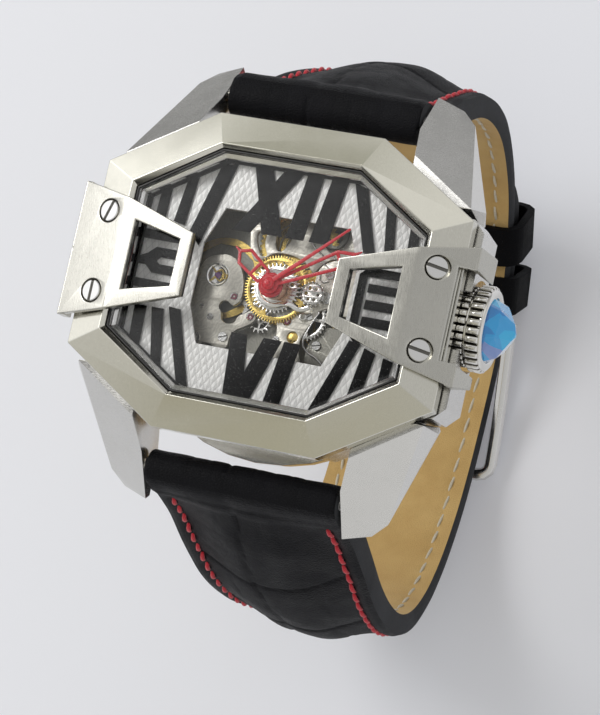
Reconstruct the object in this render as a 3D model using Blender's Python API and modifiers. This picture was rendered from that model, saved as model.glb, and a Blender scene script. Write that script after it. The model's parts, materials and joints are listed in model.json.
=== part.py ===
"""Octagonal skeleton wristwatch with two screwed side brackets, a jewelled crown and a buckled
leather strap.

The watch is modelled face up: +Z out of the dial, +Y towards 12 o'clock, +X towards the crown at
3 o'clock.  The origin is the centre of the case back's outer flat face.  Every size below is in
millimetres, and the mesh helpers turn it into metres.
"""

from math import atan2, cos, hypot, pi, radians, sin, sqrt

import bmesh
import bpy
from mathutils import Matrix, Vector

MM = 0.001
COLLECTION = "octagonal_skeleton_wristwatch"

# ---------------------------------------------------------------- driving dimensions, in mm

BEZEL_HALF_X = 24.0
BEZEL_HALF_Y = 20.05
BEZEL_FLAT_X = 10.8          # half length of the top and bottom sides
BEZEL_FLAT_Y = 11.8          # half length of the left and right sides
BEZEL_EDGE_Z = 12.8
BEZEL_FOOT_Z = 10.9
RIDGE_HALF_X = 19.6
RIDGE_HALF_Y = 15.95
RIDGE_FLAT_X = 9.15
RIDGE_FLAT_Y = 9.45
RIDGE_Z = 14.5
CRYSTAL_HALF_X = 18.75
CRYSTAL_HALF_Y = 15.1
CRYSTAL_FLAT_X = 8.95
CRYSTAL_FLAT_Y = 8.75
CRYSTAL_Z = (13.15, 14.15)
DIAL_HALF_X = 18.4
DIAL_HALF_Y = 14.7
DIAL_FLAT_X = 8.9
DIAL_FLAT_Y = 8.6
DIAL_Z = (10.05, 10.4)
NUMERAL_Z = (10.45, 10.75)
WINDOW_HALF_X = 10.1
WINDOW_HALF_Y = 8.65
WINDOW_FLAT_X = 8.25
WINDOW_FLAT_Y = 4.0

CASE_Z = (2.5, 10.8)
CASE_HALF_X = 23.0
CASE_HALF_Y = 19.2
CASE_FLAT_X = 10.4
CASE_FLAT_Y = 11.3
MOVEMENT_RADIUS = 14.0
BACK_RADIUS = 21.2
BACK_GLASS_RADIUS = 14.0

CROWN_Z = 5.8
CROWN_RADIUS = 5.4
CROWN_BASE_X = 23.3
CROWN_FACE_X = 27.3
CROWN_FLUTES = 24

SCREW_RADIUS = 1.4
SCREW_X = 21.48
SCREW_Y = 5.11

LUG_INSIDE = 13.2            # half the gap between a pair of lugs
LUG_END = 28.36              # distance of a lug's tip from the middle
LUG_TIP_Z = 2.29
LUG_SLOPE_X = 0.55           # fall of a lug's front face outwards
LUG_SLOPE_Y = 0.9387         # fall of a lug's front face towards its tip
BAR_Y = 24.3
BAR_Z = 4.6
BAR_HOLE_END = 14.6          # the bar holes stay hidden inside the lugs
STRAP_HALF_LUG = 12.7
STRAP_HALF_BUCKLE = 10.9

BALANCE_AXIS = (-8.3, 0.55)
BALANCE_RADIUS = 5.2

GAP = 0.1                    # space left between pieces that rest on each other

# gear train: teeth and modules (tooth size) of each mesh
CENTRE_TEETH, THIRD_LEAVES, CENTRE_MODULE = 48, 6, 4.5 / 27
THIRD_TEETH, FOURTH_LEAVES, THIRD_MODULE = 45, 6, 4.5 / 25.5
FOURTH_TEETH, ESCAPE_LEAVES, FOURTH_MODULE = 60, 6, 0.136
BARREL_TEETH, CENTRE_LEAVES, BARREL_MODULE = 48, 8, 0.2125
CANNON_TEETH, MINUTE_TEETH, CANNON_MODULE = 12, 24, 4.9 / 18
MINUTE_LEAVES, HOUR_TEETH, HOUR_MODULE = 6, 36, 4.9 / 21
DRIVE_TEETH, IDLER_TEETH, DRIVE_MODULE = 24, 12, 0.265
RATCHET_TEETH, CROWN_WHEEL_TEETH, WINDING_MODULE = 24, 20, 0.345


def polar(distance, angle):
    """Point at a distance and an angle in degrees, counted from 3 o'clock towards 12."""
    return (distance * cos(radians(angle)), distance * sin(radians(angle)))


BARREL_AXIS = polar((BARREL_TEETH + CENTRE_LEAVES) * BARREL_MODULE / 2, 80)
THIRD_AXIS = polar((CENTRE_TEETH + THIRD_LEAVES) * CENTRE_MODULE / 2, -20)
ESCAPE_AXIS = polar((FOURTH_TEETH + ESCAPE_LEAVES) * FOURTH_MODULE / 2, -116)
MINUTE_AXIS = polar((CANNON_TEETH + MINUTE_TEETH) * CANNON_MODULE / 2, -35)
IDLER_AXIS = polar((DRIVE_TEETH + IDLER_TEETH) * DRIVE_MODULE / 2 + 0.02, 1)
WINDING_DISTANCE = (RATCHET_TEETH + CROWN_WHEEL_TEETH) * WINDING_MODULE / 2
CROWN_WHEEL_AXIS = (BARREL_AXIS[0] + sqrt(WINDING_DISTANCE ** 2 - BARREL_AXIS[1] ** 2), 0.0)
PALLET_AXIS = (-3.95, -2.6)

# levels of the movement, bottom and top of each layer
ROTOR_Z = (2.0, 2.6)
ROTOR_RIM_Z = (1.95, 3.5)
WINDING_Z = (4.1, 4.4)
PLATE_Z = (4.7, 5.25)
FOURTH_Z = (5.4, 5.58)
BALANCE_Z = (5.68, 5.92)
THIRD_Z = (5.7, 5.88)
CENTRE_Z = (6.0, 6.2)
BARREL_Z = (6.32, 6.72)
ESCAPE_Z = (6.34, 6.52)
BRIDGE_Z = (6.85, 7.3)
COCK_Z = (6.85, 7.5)
CANNON_Z = (7.5, 7.75)
COVER_Z = (7.9, 8.1)
HOUR_Z = (8.4, 8.6)
DRIVE_Z = (9.0, 9.25)
HOUR_HAND_Z = (11.15, 11.4)
MINUTE_HAND_Z = (11.75, 12.0)
SECONDS_HAND_Z = (12.35, 12.6)

# strap centrelines as (y, z) points, from the lug's spring bar round to the free end
UPPER_STRAP = ((24.5, 3.4), (25.3, 0.0), (27.4, -6.0), (30.8, -14), (33.6, -22.5), (34.6, -31),
               (33.9, -39), (31.3, -46), (27.6, -51.7), (22.3, -56.2), (16.6, -59.2),
               (10.6, -61.0))
LOWER_STRAP = ((-24.5, 3.4), (-25.3, 0.0), (-27.3, -6.0), (-30.6, -14), (-33.9, -22.5), (-35.9, -31),
               (-36.4, -39), (-34.9, -46.5), (-31.2, -53.2), (-25.8, -58.4), (-19.2, -62.0),
               (-12, -63.9), (-4, -64.9), (4, -65.3), (10.5, -64.9), (17, -63.0), (23.5, -59.6),
               (29, -55.2), (32.6, -50.6))
WELD = 1e-7
PILLARS = ((11.6, 4.6), (9.4, -8.2), (-10.2, -7.6), (10.4, 8.2), (-8.2, -9.0), (3.6, -11.0))
BUCKLE_BAR = (9.0, -61.2)
BUCKLE_FRONT = (-11.6, -67.0)
BUCKLE_HALF_X = 13.2
KEEPER_WALL = 1.2

# ---------------------------------------------------------------- scene, materials and helpers


def clear_scene():
    """Remove the objects of the file this script runs in."""
    for old in list(bpy.data.objects):
        bpy.data.objects.remove(old)


def new_collection(name):
    group = bpy.data.collections.new(name)
    bpy.context.scene.collection.children.link(group)
    return group


clear_scene()
PARTS = new_collection(COLLECTION)
CUTTERS = new_collection("cutters")

COLOURS = {
    "brushed_steel": ((0.74, 0.73, 0.70), 0.32, 1.0),
    "polished_steel": ((0.80, 0.80, 0.79), 0.12, 1.0),
    "screw_steel": ((0.70, 0.70, 0.70), 0.2, 1.0),
    "movement_steel": ((0.72, 0.71, 0.68), 0.35, 1.0),
    "dark_steel": ((0.28, 0.28, 0.27), 0.4, 1.0),
    "gilt_brass": ((0.83, 0.64, 0.26), 0.25, 1.0),
    "copper": ((0.72, 0.42, 0.27), 0.3, 1.0),
    "hairspring_blue": ((0.25, 0.3, 0.45), 0.3, 1.0),
    "dial_silver": ((0.84, 0.84, 0.83), 0.4, 0.6),
    "numeral_black": ((0.03, 0.03, 0.033), 0.45, 0.0),
    "hand_red": ((0.75, 0.03, 0.05), 0.35, 0.0),
    "crystal": ((0.95, 0.97, 0.98), 0.03, 0.0),
    "crown_stone": ((0.02, 0.38, 0.78), 0.05, 0.0),
    "gasket_black": ((0.02, 0.02, 0.02), 0.6, 0.0),
    "black_leather": ((0.018, 0.018, 0.02), 0.6, 0.0),
}


def material(name):
    """The named Principled material, made the first time it is asked for."""
    found = bpy.data.materials.get(name)
    if found:
        return found
    colour, roughness, metallic = COLOURS[name]
    made = bpy.data.materials.new(name)
    made.use_nodes = True
    shader = made.node_tree.nodes["Principled BSDF"]
    shader.inputs["Base Color"].default_value = (*colour, 1.0)
    shader.inputs["Roughness"].default_value = roughness
    shader.inputs["Metallic"].default_value = metallic
    if name == "crystal":
        shader.inputs["Transmission Weight"].default_value = 1.0
    return made


def finish_object(name, mesh, finish, origin):
    """Link a mesh as an object standing at origin (mm), with its material."""
    made = bpy.data.objects.new(name, mesh)
    made.location = Vector(origin) * MM
    mesh.materials.clear()
    mesh.materials.append(material(finish))
    PARTS.objects.link(made)
    return made


def mesh_from(build):
    """Mesh from a function that fills a bmesh in millimetres."""
    shape = bmesh.new()
    build(shape)
    bmesh.ops.scale(shape, vec=(MM, MM, MM), verts=shape.verts)
    bmesh.ops.recalc_face_normals(shape, faces=shape.faces)
    mesh = bpy.data.meshes.new("shape")
    shape.to_mesh(mesh)
    shape.free()
    return mesh


def smooth(thing, angle=35):
    thing.data.shade_smooth()
    thing.data.set_sharp_from_angle(angle=radians(angle))
    return thing


def turn_to(mesh, direction):
    """Turn a mesh that was built along +Z so that it lies along another axis."""
    turn = Vector((0, 0, 1)).rotation_difference(Vector(direction)).to_matrix().to_4x4()
    mesh.transform(turn)


def plate(name, outlines, levels, finish="movement_steel", origin=(0, 0), along=None):
    """Flat piece from closed outlines, the first outside and the rest holes, between two levels.

    The outlines are drawn about the origin, so a turning piece keeps its axis there."""
    low, high = levels
    curve = bpy.data.curves.new(name, "CURVE")
    curve.dimensions = "2D"
    curve.fill_mode = "BOTH"
    curve.extrude = (high - low) / 2 * MM
    for outline in outlines:
        spline = curve.splines.new("POLY")
        spline.points.add(len(outline) - 1)
        for point, (x, y) in zip(spline.points, outline):
            point.co = (x * MM, y * MM, 0, 1)
        spline.use_cyclic_u = True
    mesh = mesh_of_curve(curve)
    middle = (low + high) / 2
    if along:
        mesh.transform(Matrix.Translation((0, 0, middle * MM)))
        turn_to(mesh, along)
        return finish_object(name, mesh, finish, origin)
    return finish_object(name, mesh, finish, (origin[0], origin[1], middle))


def turned(name, profile, finish, origin=(0, 0, 0), along=None, steps=32, closed=False):
    """Turned piece from (radius, height) points that run down its outer side."""
    mesh = bpy.data.meshes.new(name)
    edges = [(i, i + 1) for i in range(len(profile) - 1)]
    if closed:
        edges.append((len(profile) - 1, 0))
    mesh.from_pydata([(r * MM, 0, z * MM) for r, z in profile], edges, [])
    made = finish_object(name, mesh, finish, (0, 0, 0))
    screw = made.modifiers.new("turn", "SCREW")
    screw.steps = steps
    screw.render_steps = steps
    screw.use_merge_vertices = True
    screw.merge_threshold = 1e-6
    screw.use_smooth_shade = True
    solid = apply_modifiers(made)
    if along:
        turn_to(solid.data, along)
    solid.location = Vector(origin) * MM
    return smooth(solid)


def apply_modifiers(thing):
    """Replace an object's mesh by its evaluated mesh."""
    bpy.context.view_layer.update()
    shown = thing.evaluated_get(bpy.context.evaluated_depsgraph_get())
    mesh = bpy.data.meshes.new_from_object(shown)
    thing.modifiers.clear()
    thing.data = mesh
    return thing


def cylinder(name, radius, length, finish, origin, along, steps):
    """Plain cylinder that starts at origin and runs along a direction."""

    def build(shape):
        bmesh.ops.create_cone(shape, cap_ends=True, segments=steps, radius1=radius,
                              radius2=radius, depth=length)
        bmesh.ops.translate(shape, vec=(0, 0, length / 2), verts=shape.verts)

    mesh = mesh_from(build)
    turn_to(mesh, along)
    return smooth(finish_object(name, mesh, finish, origin))


def rod(name, start, end, radius, finish, steps=16):
    """Round bar between two points."""
    start, end = Vector(start), Vector(end)
    return cylinder(name, radius, (end - start).length, finish, start, end - start, steps)


def ring(name, outer, inner, levels, finish, origin=(0, 0), steps=32):
    """Round washer or sleeve."""
    low, high = levels
    profile = [(outer, high), (outer, low), (inner, low), (inner, high)]
    return turned(name, profile, finish, (*origin, 0), None, steps, closed=True)


def disc(name, radius, levels, finish="movement_steel", origin=(0, 0), steps=24):
    """Round plate between two levels."""
    low, high = levels
    return cylinder(name, radius, high - low, finish, (*origin, low), (0, 0, 1), steps)


def tube(name, points, radius, finish):
    """Round bar along a bent path."""
    curve = bpy.data.curves.new(name, "CURVE")
    curve.dimensions = "3D"
    curve.bevel_depth = radius * MM
    curve.bevel_resolution = 2
    curve.use_fill_caps = True
    spline = curve.splines.new("POLY")
    spline.points.add(len(points) - 1)
    for point, place in zip(spline.points, points):
        point.co = (*(c * MM for c in place), 1)
    return finish_object(name, mesh_of_curve(curve), finish, (0, 0, 0))


def mesh_of_curve(curve):
    """Closed mesh of a curve, with its caps welded on."""
    holder = bpy.data.objects.new(curve.name, curve)
    bpy.context.scene.collection.objects.link(holder)
    shown = holder.evaluated_get(bpy.context.evaluated_depsgraph_get())
    mesh = bpy.data.meshes.new_from_object(shown)
    bpy.data.objects.remove(holder)
    bpy.data.curves.remove(curve)
    shape = bmesh.new()
    shape.from_mesh(mesh)
    bmesh.ops.remove_doubles(shape, verts=shape.verts, dist=WELD)
    bmesh.ops.recalc_face_normals(shape, faces=shape.faces)
    shape.to_mesh(mesh)
    shape.free()
    return mesh


def block(name, low, high, finish="movement_steel"):
    """Box between two corners."""
    centre = [(a + b) / 2 for a, b in zip(low, high)]
    size = [b - a for a, b in zip(low, high)]

    def build(shape):
        bmesh.ops.create_cube(shape, size=1.0)
        bmesh.ops.scale(shape, vec=size, verts=shape.verts)

    return finish_object(name, mesh_from(build), finish, centre)


def hull(name, points, finish):
    """Convex solid around a few corner points."""

    def build(shape):
        for point in points:
            shape.verts.new(point)
        found = bmesh.ops.convex_hull(shape, input=shape.verts)
        bmesh.ops.delete(shape, geom=found["geom_interior"], context="VERTS")

    return finish_object(name, mesh_from(build), finish, (0, 0, 0))


def rounded(thing, width, segments=2, angle=30):
    """Bevel every edge that is sharper than an angle."""
    bevel = thing.modifiers.new("round", "BEVEL")
    bevel.width = width * MM
    bevel.segments = segments
    bevel.limit_method = "ANGLE"
    bevel.angle_limit = radians(angle)
    bevel.use_clamp_overlap = True
    return apply_modifiers(thing)


def boolean(thing, operation, *tools):
    """Cut away or join other objects, which then go to the cutters."""
    for tool in tools:
        PARTS.objects.unlink(tool)
        CUTTERS.objects.link(tool)
        tool.hide_render = True
        tool.display_type = "WIRE"
        step = thing.modifiers.new(tool.name, "BOOLEAN")
        step.operation = operation
        step.solver = "EXACT"
        step.object = tool
    apply_modifiers(thing)
    return mended(thing)


def mended(thing):
    """Weld the points a Boolean left side by side and close its sliver holes."""
    shape = bmesh.new()
    shape.from_mesh(thing.data)
    bmesh.ops.remove_doubles(shape, verts=shape.verts, dist=WELD)
    bmesh.ops.holes_fill(shape, edges=[e for e in shape.edges if e.is_boundary], sides=4)
    shape.to_mesh(thing.data)
    shape.free()
    return thing


def cut(thing, *tools):
    return boolean(thing, "DIFFERENCE", *tools)


def join(thing, *tools):
    return boolean(thing, "UNION", *tools)


def octagon(half_x, half_y, flat_x, flat_y):
    """Eight corners, anticlockwise from the upper right of the right side."""
    quarter = [(half_x, flat_y), (flat_x, half_y)]
    upper = quarter + [(-x, y) for x, y in reversed(quarter)]
    return upper + [(-x, -y) for x, y in upper]


def octagon_ring(name, sections, finish):
    """Band that follows an octagon: each section is an octagon and its height, and the
    sections run down the outer side and back up the inner side."""

    def build(shape):
        loops = []
        for *sides, height in sections:
            loops.append([shape.verts.new((x, y, height)) for x, y in octagon(*sides)])
        for loop, following in zip(loops, loops[1:] + loops[:1]):
            for i in range(8):
                j = (i + 1) % 8
                shape.faces.new((loop[i], following[i], following[j], loop[j]))

    return finish_object(name, mesh_from(build), finish, (0, 0, 0))


def circle(radius, points=24, centre=(0, 0)):
    return [(centre[0] + radius * cos(2 * pi * i / points),
             centre[1] + radius * sin(2 * pi * i / points)) for i in range(points)]


def gear(teeth, module, turn=0.0, depth=(0.85, 1.0), share=0.40):
    """Gear outline: pointed teeth on a pitch circle, with tip and root clearance."""
    radius = teeth * module / 2
    tip, root = radius + depth[0] * module, radius - depth[1] * module
    pitch = 2 * pi / teeth
    points = []
    for i in range(teeth):
        middle = i * pitch + turn
        for r, offset in ((root, -share), (tip, 0), (root, share)):
            points.append((r * cos(middle + offset * pitch), r * sin(middle + offset * pitch)))
    return points


def spoke_windows(inner, outer, spokes, width):
    """Openings between the spokes of a wheel."""
    windows = []
    for i in range(spokes):
        start, end = 2 * pi * i / spokes, 2 * pi * (i + 1) / spokes
        points = []
        for r, ends, steps in ((outer, (start, end), 5), (inner, (end, start), 2)):
            trim = width / 2 / r * (1 if ends[0] < ends[1] else -1)
            a, b = ends[0] + trim, ends[1] - trim
            points += [(r * cos(a + (b - a) * k / steps), r * sin(a + (b - a) * k / steps))
                       for k in range(steps + 1)]
        windows.append(points)
    return windows


def mesh_turn(axis, teeth, other_turn, other_teeth, other_axis=(0, 0)):
    """Angle that puts a tooth gap of this gear over a tooth of the gear it meshes with."""
    along = atan2(axis[1] - other_axis[1], axis[0] - other_axis[0])
    phase = (along - other_turn) * other_teeth % (2 * pi)
    return along + pi + (phase + pi) / teeth


def smooth_path(points, steps):
    """Catmull-Rom curve through (y, z) points, as evenly numbered samples."""
    knots = [Vector(p) for p in points]
    knots = [knots[0] * 2 - knots[1]] + knots + [knots[-1] * 2 - knots[-2]]
    samples = []
    for a, b, c, d in zip(knots, knots[1:], knots[2:], knots[3:]):
        for k in range(steps):
            t = k / steps
            samples.append(0.5 * (2 * b + (c - a) * t + (2 * a - 5 * b + 4 * c - d) * t * t
                                  + (3 * b - a - 3 * c + d) * t ** 3))
    samples.append(knots[-2])
    return samples


def strap_band(name, path, half_width, thickness, finish, outward):
    """Padded band along a (y, z) path; half_width and thickness are functions of 0..1."""

    def build(shape):
        loops = []
        for i, point in enumerate(path):
            ahead, behind = path[min(i + 1, len(path) - 1)], path[max(i - 1, 0)]
            along = (ahead - behind).normalized()
            out = Vector((-along.y, along.x)) * outward
            share = i / (len(path) - 1)
            w, t = half_width(share), thickness(share)
            section = [(-w, -0.5), (w, -0.5), (w, 0.1), (w * 0.8, 0.42), (0, 0.5),
                       (-w * 0.8, 0.42), (-w, 0.1)]
            loops.append([shape.verts.new((x, point.x + out.x * t * h, point.y + out.y * t * h))
                          for x, h in section])
        for loop, following in zip(loops, loops[1:]):
            for k in range(len(loop)):
                j = (k + 1) % len(loop)
                shape.faces.new((loop[k], loop[j], following[j], following[k]))
        shape.faces.new(loops[0])
        shape.faces.new(loops[-1])

    return smooth(finish_object(name, mesh_from(build), finish, (0, 0, 0)), 50)


# ---------------------------------------------------------------- case, bezel and crystal


def lug(side, end):
    """One lug: a flat front face that slopes down to the tip, and a wide outer chamfer."""
    front = [(14.27, 19.02), (LUG_INSIDE, 22.98), (LUG_INSIDE, LUG_END), (16.64, 27.26),
             (22.8, 13.48)]
    corners = [(x, y, LUG_TIP_Z - LUG_SLOPE_X * (x - LUG_INSIDE) + LUG_SLOPE_Y * (LUG_END - y))
               for x, y in front]
    corners += [
        (23.9, 13.83, 7.78), (18.62, 25.48, 2.2), (16.4, 26.8, 0.95), (LUG_INSIDE, 27.8, 1.1),
        (18.2, 24.6, 1.5), (22.9, 13.0, 3.2), (22.5, 12.5, 2.7), (19.6, 13.3, 10.7),
        (14.7, 18.2, 10.3), (14.4, 14.0, 10.7), (14.4, 14.0, 2.7), (LUG_INSIDE, 20.0, 2.6),
        (LUG_INSIDE, 22.5, 1.6),
    ]
    return hull("lug", [(side * x, end * y, z) for x, y, z in corners], "brushed_steel")


def case_middle():
    body = plate("case_middle", [octagon(CASE_HALF_X, CASE_HALF_Y, CASE_FLAT_X, CASE_FLAT_Y)],
                 CASE_Z, "brushed_steel")
    guard = [(21, 12.6), (23.4, 12.4), (24.9, 10.9), (24.9, -10.9), (23.4, -12.4), (21, -12.6)]
    parts = [plate("crown_guard", [guard], (3.2, 10.3))]
    parts += [lug(side, end) for side in (1, -1) for end in (1, -1)]
    join(body, *parts)
    bore = disc("movement_bore", MOVEMENT_RADIUS + 0.65, (0, 12), "movement_steel", steps=32)
    neck = disc("back_bore", 17.6, (0, 3.55), "movement_steel", steps=36)
    seat = plate("dial_seat", [octagon(DIAL_HALF_X + 0.1, DIAL_HALF_Y + 0.1, DIAL_FLAT_X,
                                       DIAL_FLAT_Y)], (9.95, 12))
    stem_hole = rod("stem_hole", (12, 0, CROWN_Z), (30, 0, CROWN_Z), 1.5, "movement_steel", 24)
    recess = rod("crown_recess", (CROWN_BASE_X - 0.4, 0, CROWN_Z), (30, 0, CROWN_Z),
                 CROWN_RADIUS + 0.4, "movement_steel", 28)
    bar_holes = [rod("bar_hole", (-BAR_HOLE_END, end * BAR_Y, BAR_Z),
                     (BAR_HOLE_END, end * BAR_Y, BAR_Z), 0.55, "movement_steel", 12)
                 for end in (1, -1)]
    return cut(body, bore, neck, seat, stem_hole, recess, *bar_holes)


def bezel():
    outer = (BEZEL_HALF_X, BEZEL_HALF_Y, BEZEL_FLAT_X, BEZEL_FLAT_Y)
    ridge = (RIDGE_HALF_X, RIDGE_HALF_Y, RIDGE_FLAT_X, RIDGE_FLAT_Y)
    made = octagon_ring("bezel", [
        (*outer, BEZEL_EDGE_Z),
        (*outer, BEZEL_FOOT_Z),
        (18.9, 15.25, 9.0, 8.85, BEZEL_FOOT_Z),
        (18.9, 15.25, 9.0, 8.85, 12.35),
        (19.1, 15.45, 9.05, 8.95, 12.45),
        (19.1, 15.45, 9.05, 8.95, 14.0),
        (*ridge, RIDGE_Z),
    ], "brushed_steel")
    made = smooth(rounded(made, 0.14, 1), 25)
    return cut(made, *(disc("screw_thread", 0.62, (13.2, 16), origin=(x, y), steps=14)
                       for x in (-SCREW_X, SCREW_X) for y in (-SCREW_Y, SCREW_Y)))


def crystal():
    low, high = CRYSTAL_Z
    sides = (CRYSTAL_HALF_X, CRYSTAL_HALF_Y, CRYSTAL_FLAT_X, CRYSTAL_FLAT_Y)
    top = (CRYSTAL_HALF_X - 0.5, CRYSTAL_HALF_Y - 0.5, CRYSTAL_FLAT_X - 0.1, CRYSTAL_FLAT_Y - 0.15)

    def build(shape):
        levels = [(sides, low), (sides, high - 0.45), (top, high)]
        loops = [[shape.verts.new((x, y, z)) for x, y in octagon(*s)] for s, z in levels]
        for loop, following in zip(loops, loops[1:]):
            for i in range(8):
                j = (i + 1) % 8
                shape.faces.new((loop[i], loop[j], following[j], following[i]))
        shape.faces.new(loops[0])
        shape.faces.new(loops[-1])

    return finish_object("crystal", mesh_from(build), "crystal", (0, 0, 0))


def crystal_gasket():
    inner = (CRYSTAL_HALF_X + 0.06, CRYSTAL_HALF_Y + 0.06, CRYSTAL_FLAT_X, CRYSTAL_FLAT_Y)
    outer = (19.02, 15.37, 9.03, 8.9)
    return octagon_ring("crystal_gasket", [
        (*outer, 13.85), (*outer, 12.75), (*inner, 12.75), (*inner, 13.85)], "gasket_black")


def inner_flange():
    """Polished ring under the crystal that hides the dial's edge."""
    outer = (18.75, 15.1, 8.95, 8.75)
    lip = (18.2, 14.4, 8.8, 8.4)
    return smooth(octagon_ring("inner_flange", [
        (*outer, 13.05), (*outer, 10.9), (18.35, 14.62, 8.85, 8.5, 10.9), (*lip, 12.5),
        (*lip, 12.75)], "polished_steel"), 25)


# ---------------------------------------------------------------- side brackets


def bracket(name, side):
    """Folded plate: a leaf over the crystal, a leaf screwed to the bezel, and a skirt beside it."""
    section = [(9.49, 4.0, 16.45), (19.0, 7.14, 16.1), (25.8, 8.6, 13.75), (25.8, 8.6, 11.3),
               (24.8, 8.4, 11.3), (24.8, 8.4, 13.1), (18.9, 7.11, 15.15), (9.49, 4.0, 15.55)]

    def build(shape):
        upper = [shape.verts.new((side * x, half, z)) for x, half, z in section]
        lower = [shape.verts.new((side * x, -half, z)) for x, half, z in section]
        for loop in (upper, lower):
            for corners in ((0, 1, 6, 7), (1, 2, 5, 6), (2, 3, 4, 5)):
                shape.faces.new([loop[i] for i in corners])
        for i in range(len(section)):
            j = (i + 1) % len(section)
            shape.faces.new((upper[i], upper[j], lower[j], lower[i]))

    made = finish_object(name, mesh_from(build), "brushed_steel", (0, 0, 0))
    window = [(11.07, 2.97), (17.4, 4.41), (17.4, -4.41), (11.07, -2.97)]
    tools = [plate("window", [[(side * x, y) for x, y in window]], (10, 20))]
    for end in (1, -1):
        place = (side * SCREW_X, end * SCREW_Y)
        tools.append(disc("screw_seat", SCREW_RADIUS + 0.1, (14.55, 20), origin=place, steps=20))
        tools.append(disc("screw_hole", 0.75, (10, 20), origin=place, steps=14))
    if side > 0:
        for end in (1, -1):
            corners = [(25.2, 6.4, 13.2), (25.2, 8.3, 13.2), (25.2, 6.4, 9.5), (25.2, 8.2, 9.5),
                       (27.1, 6.4, 10.4), (27.1, 8.0, 10.4), (27.1, 6.4, 9.5), (27.1, 8.0, 9.5),
                       (25.9, 6.4, 13.2), (25.9, 8.3, 13.2)]
            join(made, hull("wing", [(x, end * y, z) for x, y, z in corners], "brushed_steel"))
        tools.append(block("crown_notch", (23.7, -5.75, 5), (32, 5.75, 20)))
    return cut(made, *tools)


def bracket_pad(name, side):
    """Black cushion between a bracket's inner leaf and the crystal, open under its window."""
    outline = [(9.75, 3.75), (18.3, 6.7), (18.3, -6.7), (9.75, -3.75)]
    inside = [(10.95, 3.1), (17.6, 4.55), (17.6, -4.55), (10.95, -3.1)]
    return plate(name, [[(side * x, y) for x, y in outline], [(side * x, y) for x, y in inside]],
                 (14.25, 15.1), "gasket_black")


def bracket_screw(name, side, end, slot_angle):
    """Slotted screw with a flat head."""
    x, y = side * SCREW_X, end * SCREW_Y
    head = disc(name, SCREW_RADIUS, (14.65, 15.5), "screw_steel", (x, y), 20)
    shank = disc("shank", 0.6, (13.3, 14.9), "screw_steel", (x, y), 14)
    slot = block("slot", (-2, -0.19, 15.1), (2, 0.19, 16))
    slot.location = (x * MM, y * MM, slot.location.z)
    slot.rotation_euler.z = radians(slot_angle)
    join(head, shank)
    return cut(head, slot)


# ---------------------------------------------------------------- dial and numerals


def dial():
    edge = octagon(DIAL_HALF_X, DIAL_HALF_Y, DIAL_FLAT_X, DIAL_FLAT_Y)
    window = octagon(WINDOW_HALF_X, WINDOW_HALF_Y, WINDOW_FLAT_X, WINDOW_FLAT_Y)
    return plate("dial", [edge, window], DIAL_Z, "dial_silver")


def numeral_bars():
    """Outlines of the numeral bars, each running in from the edge of the dial."""
    rim = DIAL_HALF_Y - 0.2
    side = DIAL_HALF_X - 0.2
    twelve = [
        [(-5.6, rim), (-3.2, rim), (-0.2, 6.2), (-2.9, 6.2)],
        [(-1.6, rim), (0.95, rim), (-4.4, 6.1), (-6.75, 6.1)],
        [(1.45, rim), (3.55, rim), (2.6, 6.2), (0.3, 6.2)],
        [(4.65, rim), (6.8, rim), (5.7, 6.2), (3.35, 6.2)],
    ]
    six = [
        [(-3.9, -6.5), (-1.8, -6.5), (-0.7, -rim), (-3.3, -rim)],
        [(0.4, -6.5), (2.75, -6.5), (0.15, -rim), (-2.3, -rim)],
        [(3.1, -6.5), (5.25, -6.5), (4.1, -rim), (2.0, -rim)],
    ]
    corners = [
        [(7.6, 14.4), (9.4, 13.9), (12.0, 6.1), (10.5, 6.0)],
        [(12.2, 12.3), (13.6, 11.4), (14.3, 6.9), (13.1, 6.6)],
        [(15.8, 10.0), (17.1, 9.2), (17.3, 6.2), (16.0, 6.0)],
        [(11.2, -4.9), (12.7, -5.1), (9.7, -13.9), (7.9, -14.4)],
        [(13.3, -5.5), (14.8, -6.0), (14.1, -11.1), (12.3, -12.3)],
        [(15.9, -6.3), (17.2, -6.6), (17.0, -9.2), (15.8, -10.0)],
        [(-12.7, -4.8), (-11.1, -4.9), (-8.0, -14.4), (-9.6, -13.9)],
        [(-14.9, -5.2), (-13.3, -5.2), (-12.1, -12.3), (-13.6, -11.4)],
        [(-17.2, -5.2), (-15.6, -5.2), (-15.5, -10.1), (-17.0, -9.2)],
        [(-9.9, 13.8), (-7.8, 14.4), (-10.7, 3.4), (-12.2, 5.1)],
        [(-13.9, 11.2), (-12.5, 12.2), (-13.1, 5.6), (-14.6, 5.9)],
        [(-17.0, 9.3), (-15.7, 10.1), (-15.8, 6.0), (-17.2, 6.0)],
    ]
    three = [[(10.7, 3.4), (11.7, 4.4), (side, 4.4), (side, 3.4), (11.75, 3.2), (11.75, -3.7),
              (side, -3.9), (side, -5.0), (11.7, -5.0), (10.7, -4.0)]]
    for low, high in ((1.3, 2.4), (-0.8, 0.4), (-2.9, -1.7)):
        three.append([(12.1, low), (side, low), (side, high), (12.1, high)])
    nine = [[(-11.6, 1.1), (-15.2, 1.1), (-15.6, 0.7), (-15.6, 0.5), (-15.2, 0.2), (-11.6, 0.2),
             (-11.6, -1.0), (-16.0, -1.0), (-17.0, -0.1), (-side, -0.1), (-side, 0.8),
             (-17.0, 1.4), (-16.0, 2.3), (-11.6, 2.3)]]
    for low, high in ((3.2, 4.4), (-3.0, -1.9)):
        nine.append([(-side, low), (-11.6, low), (-11.6, high), (-side, high)])
    return twelve + six + corners + three + nine


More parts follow.
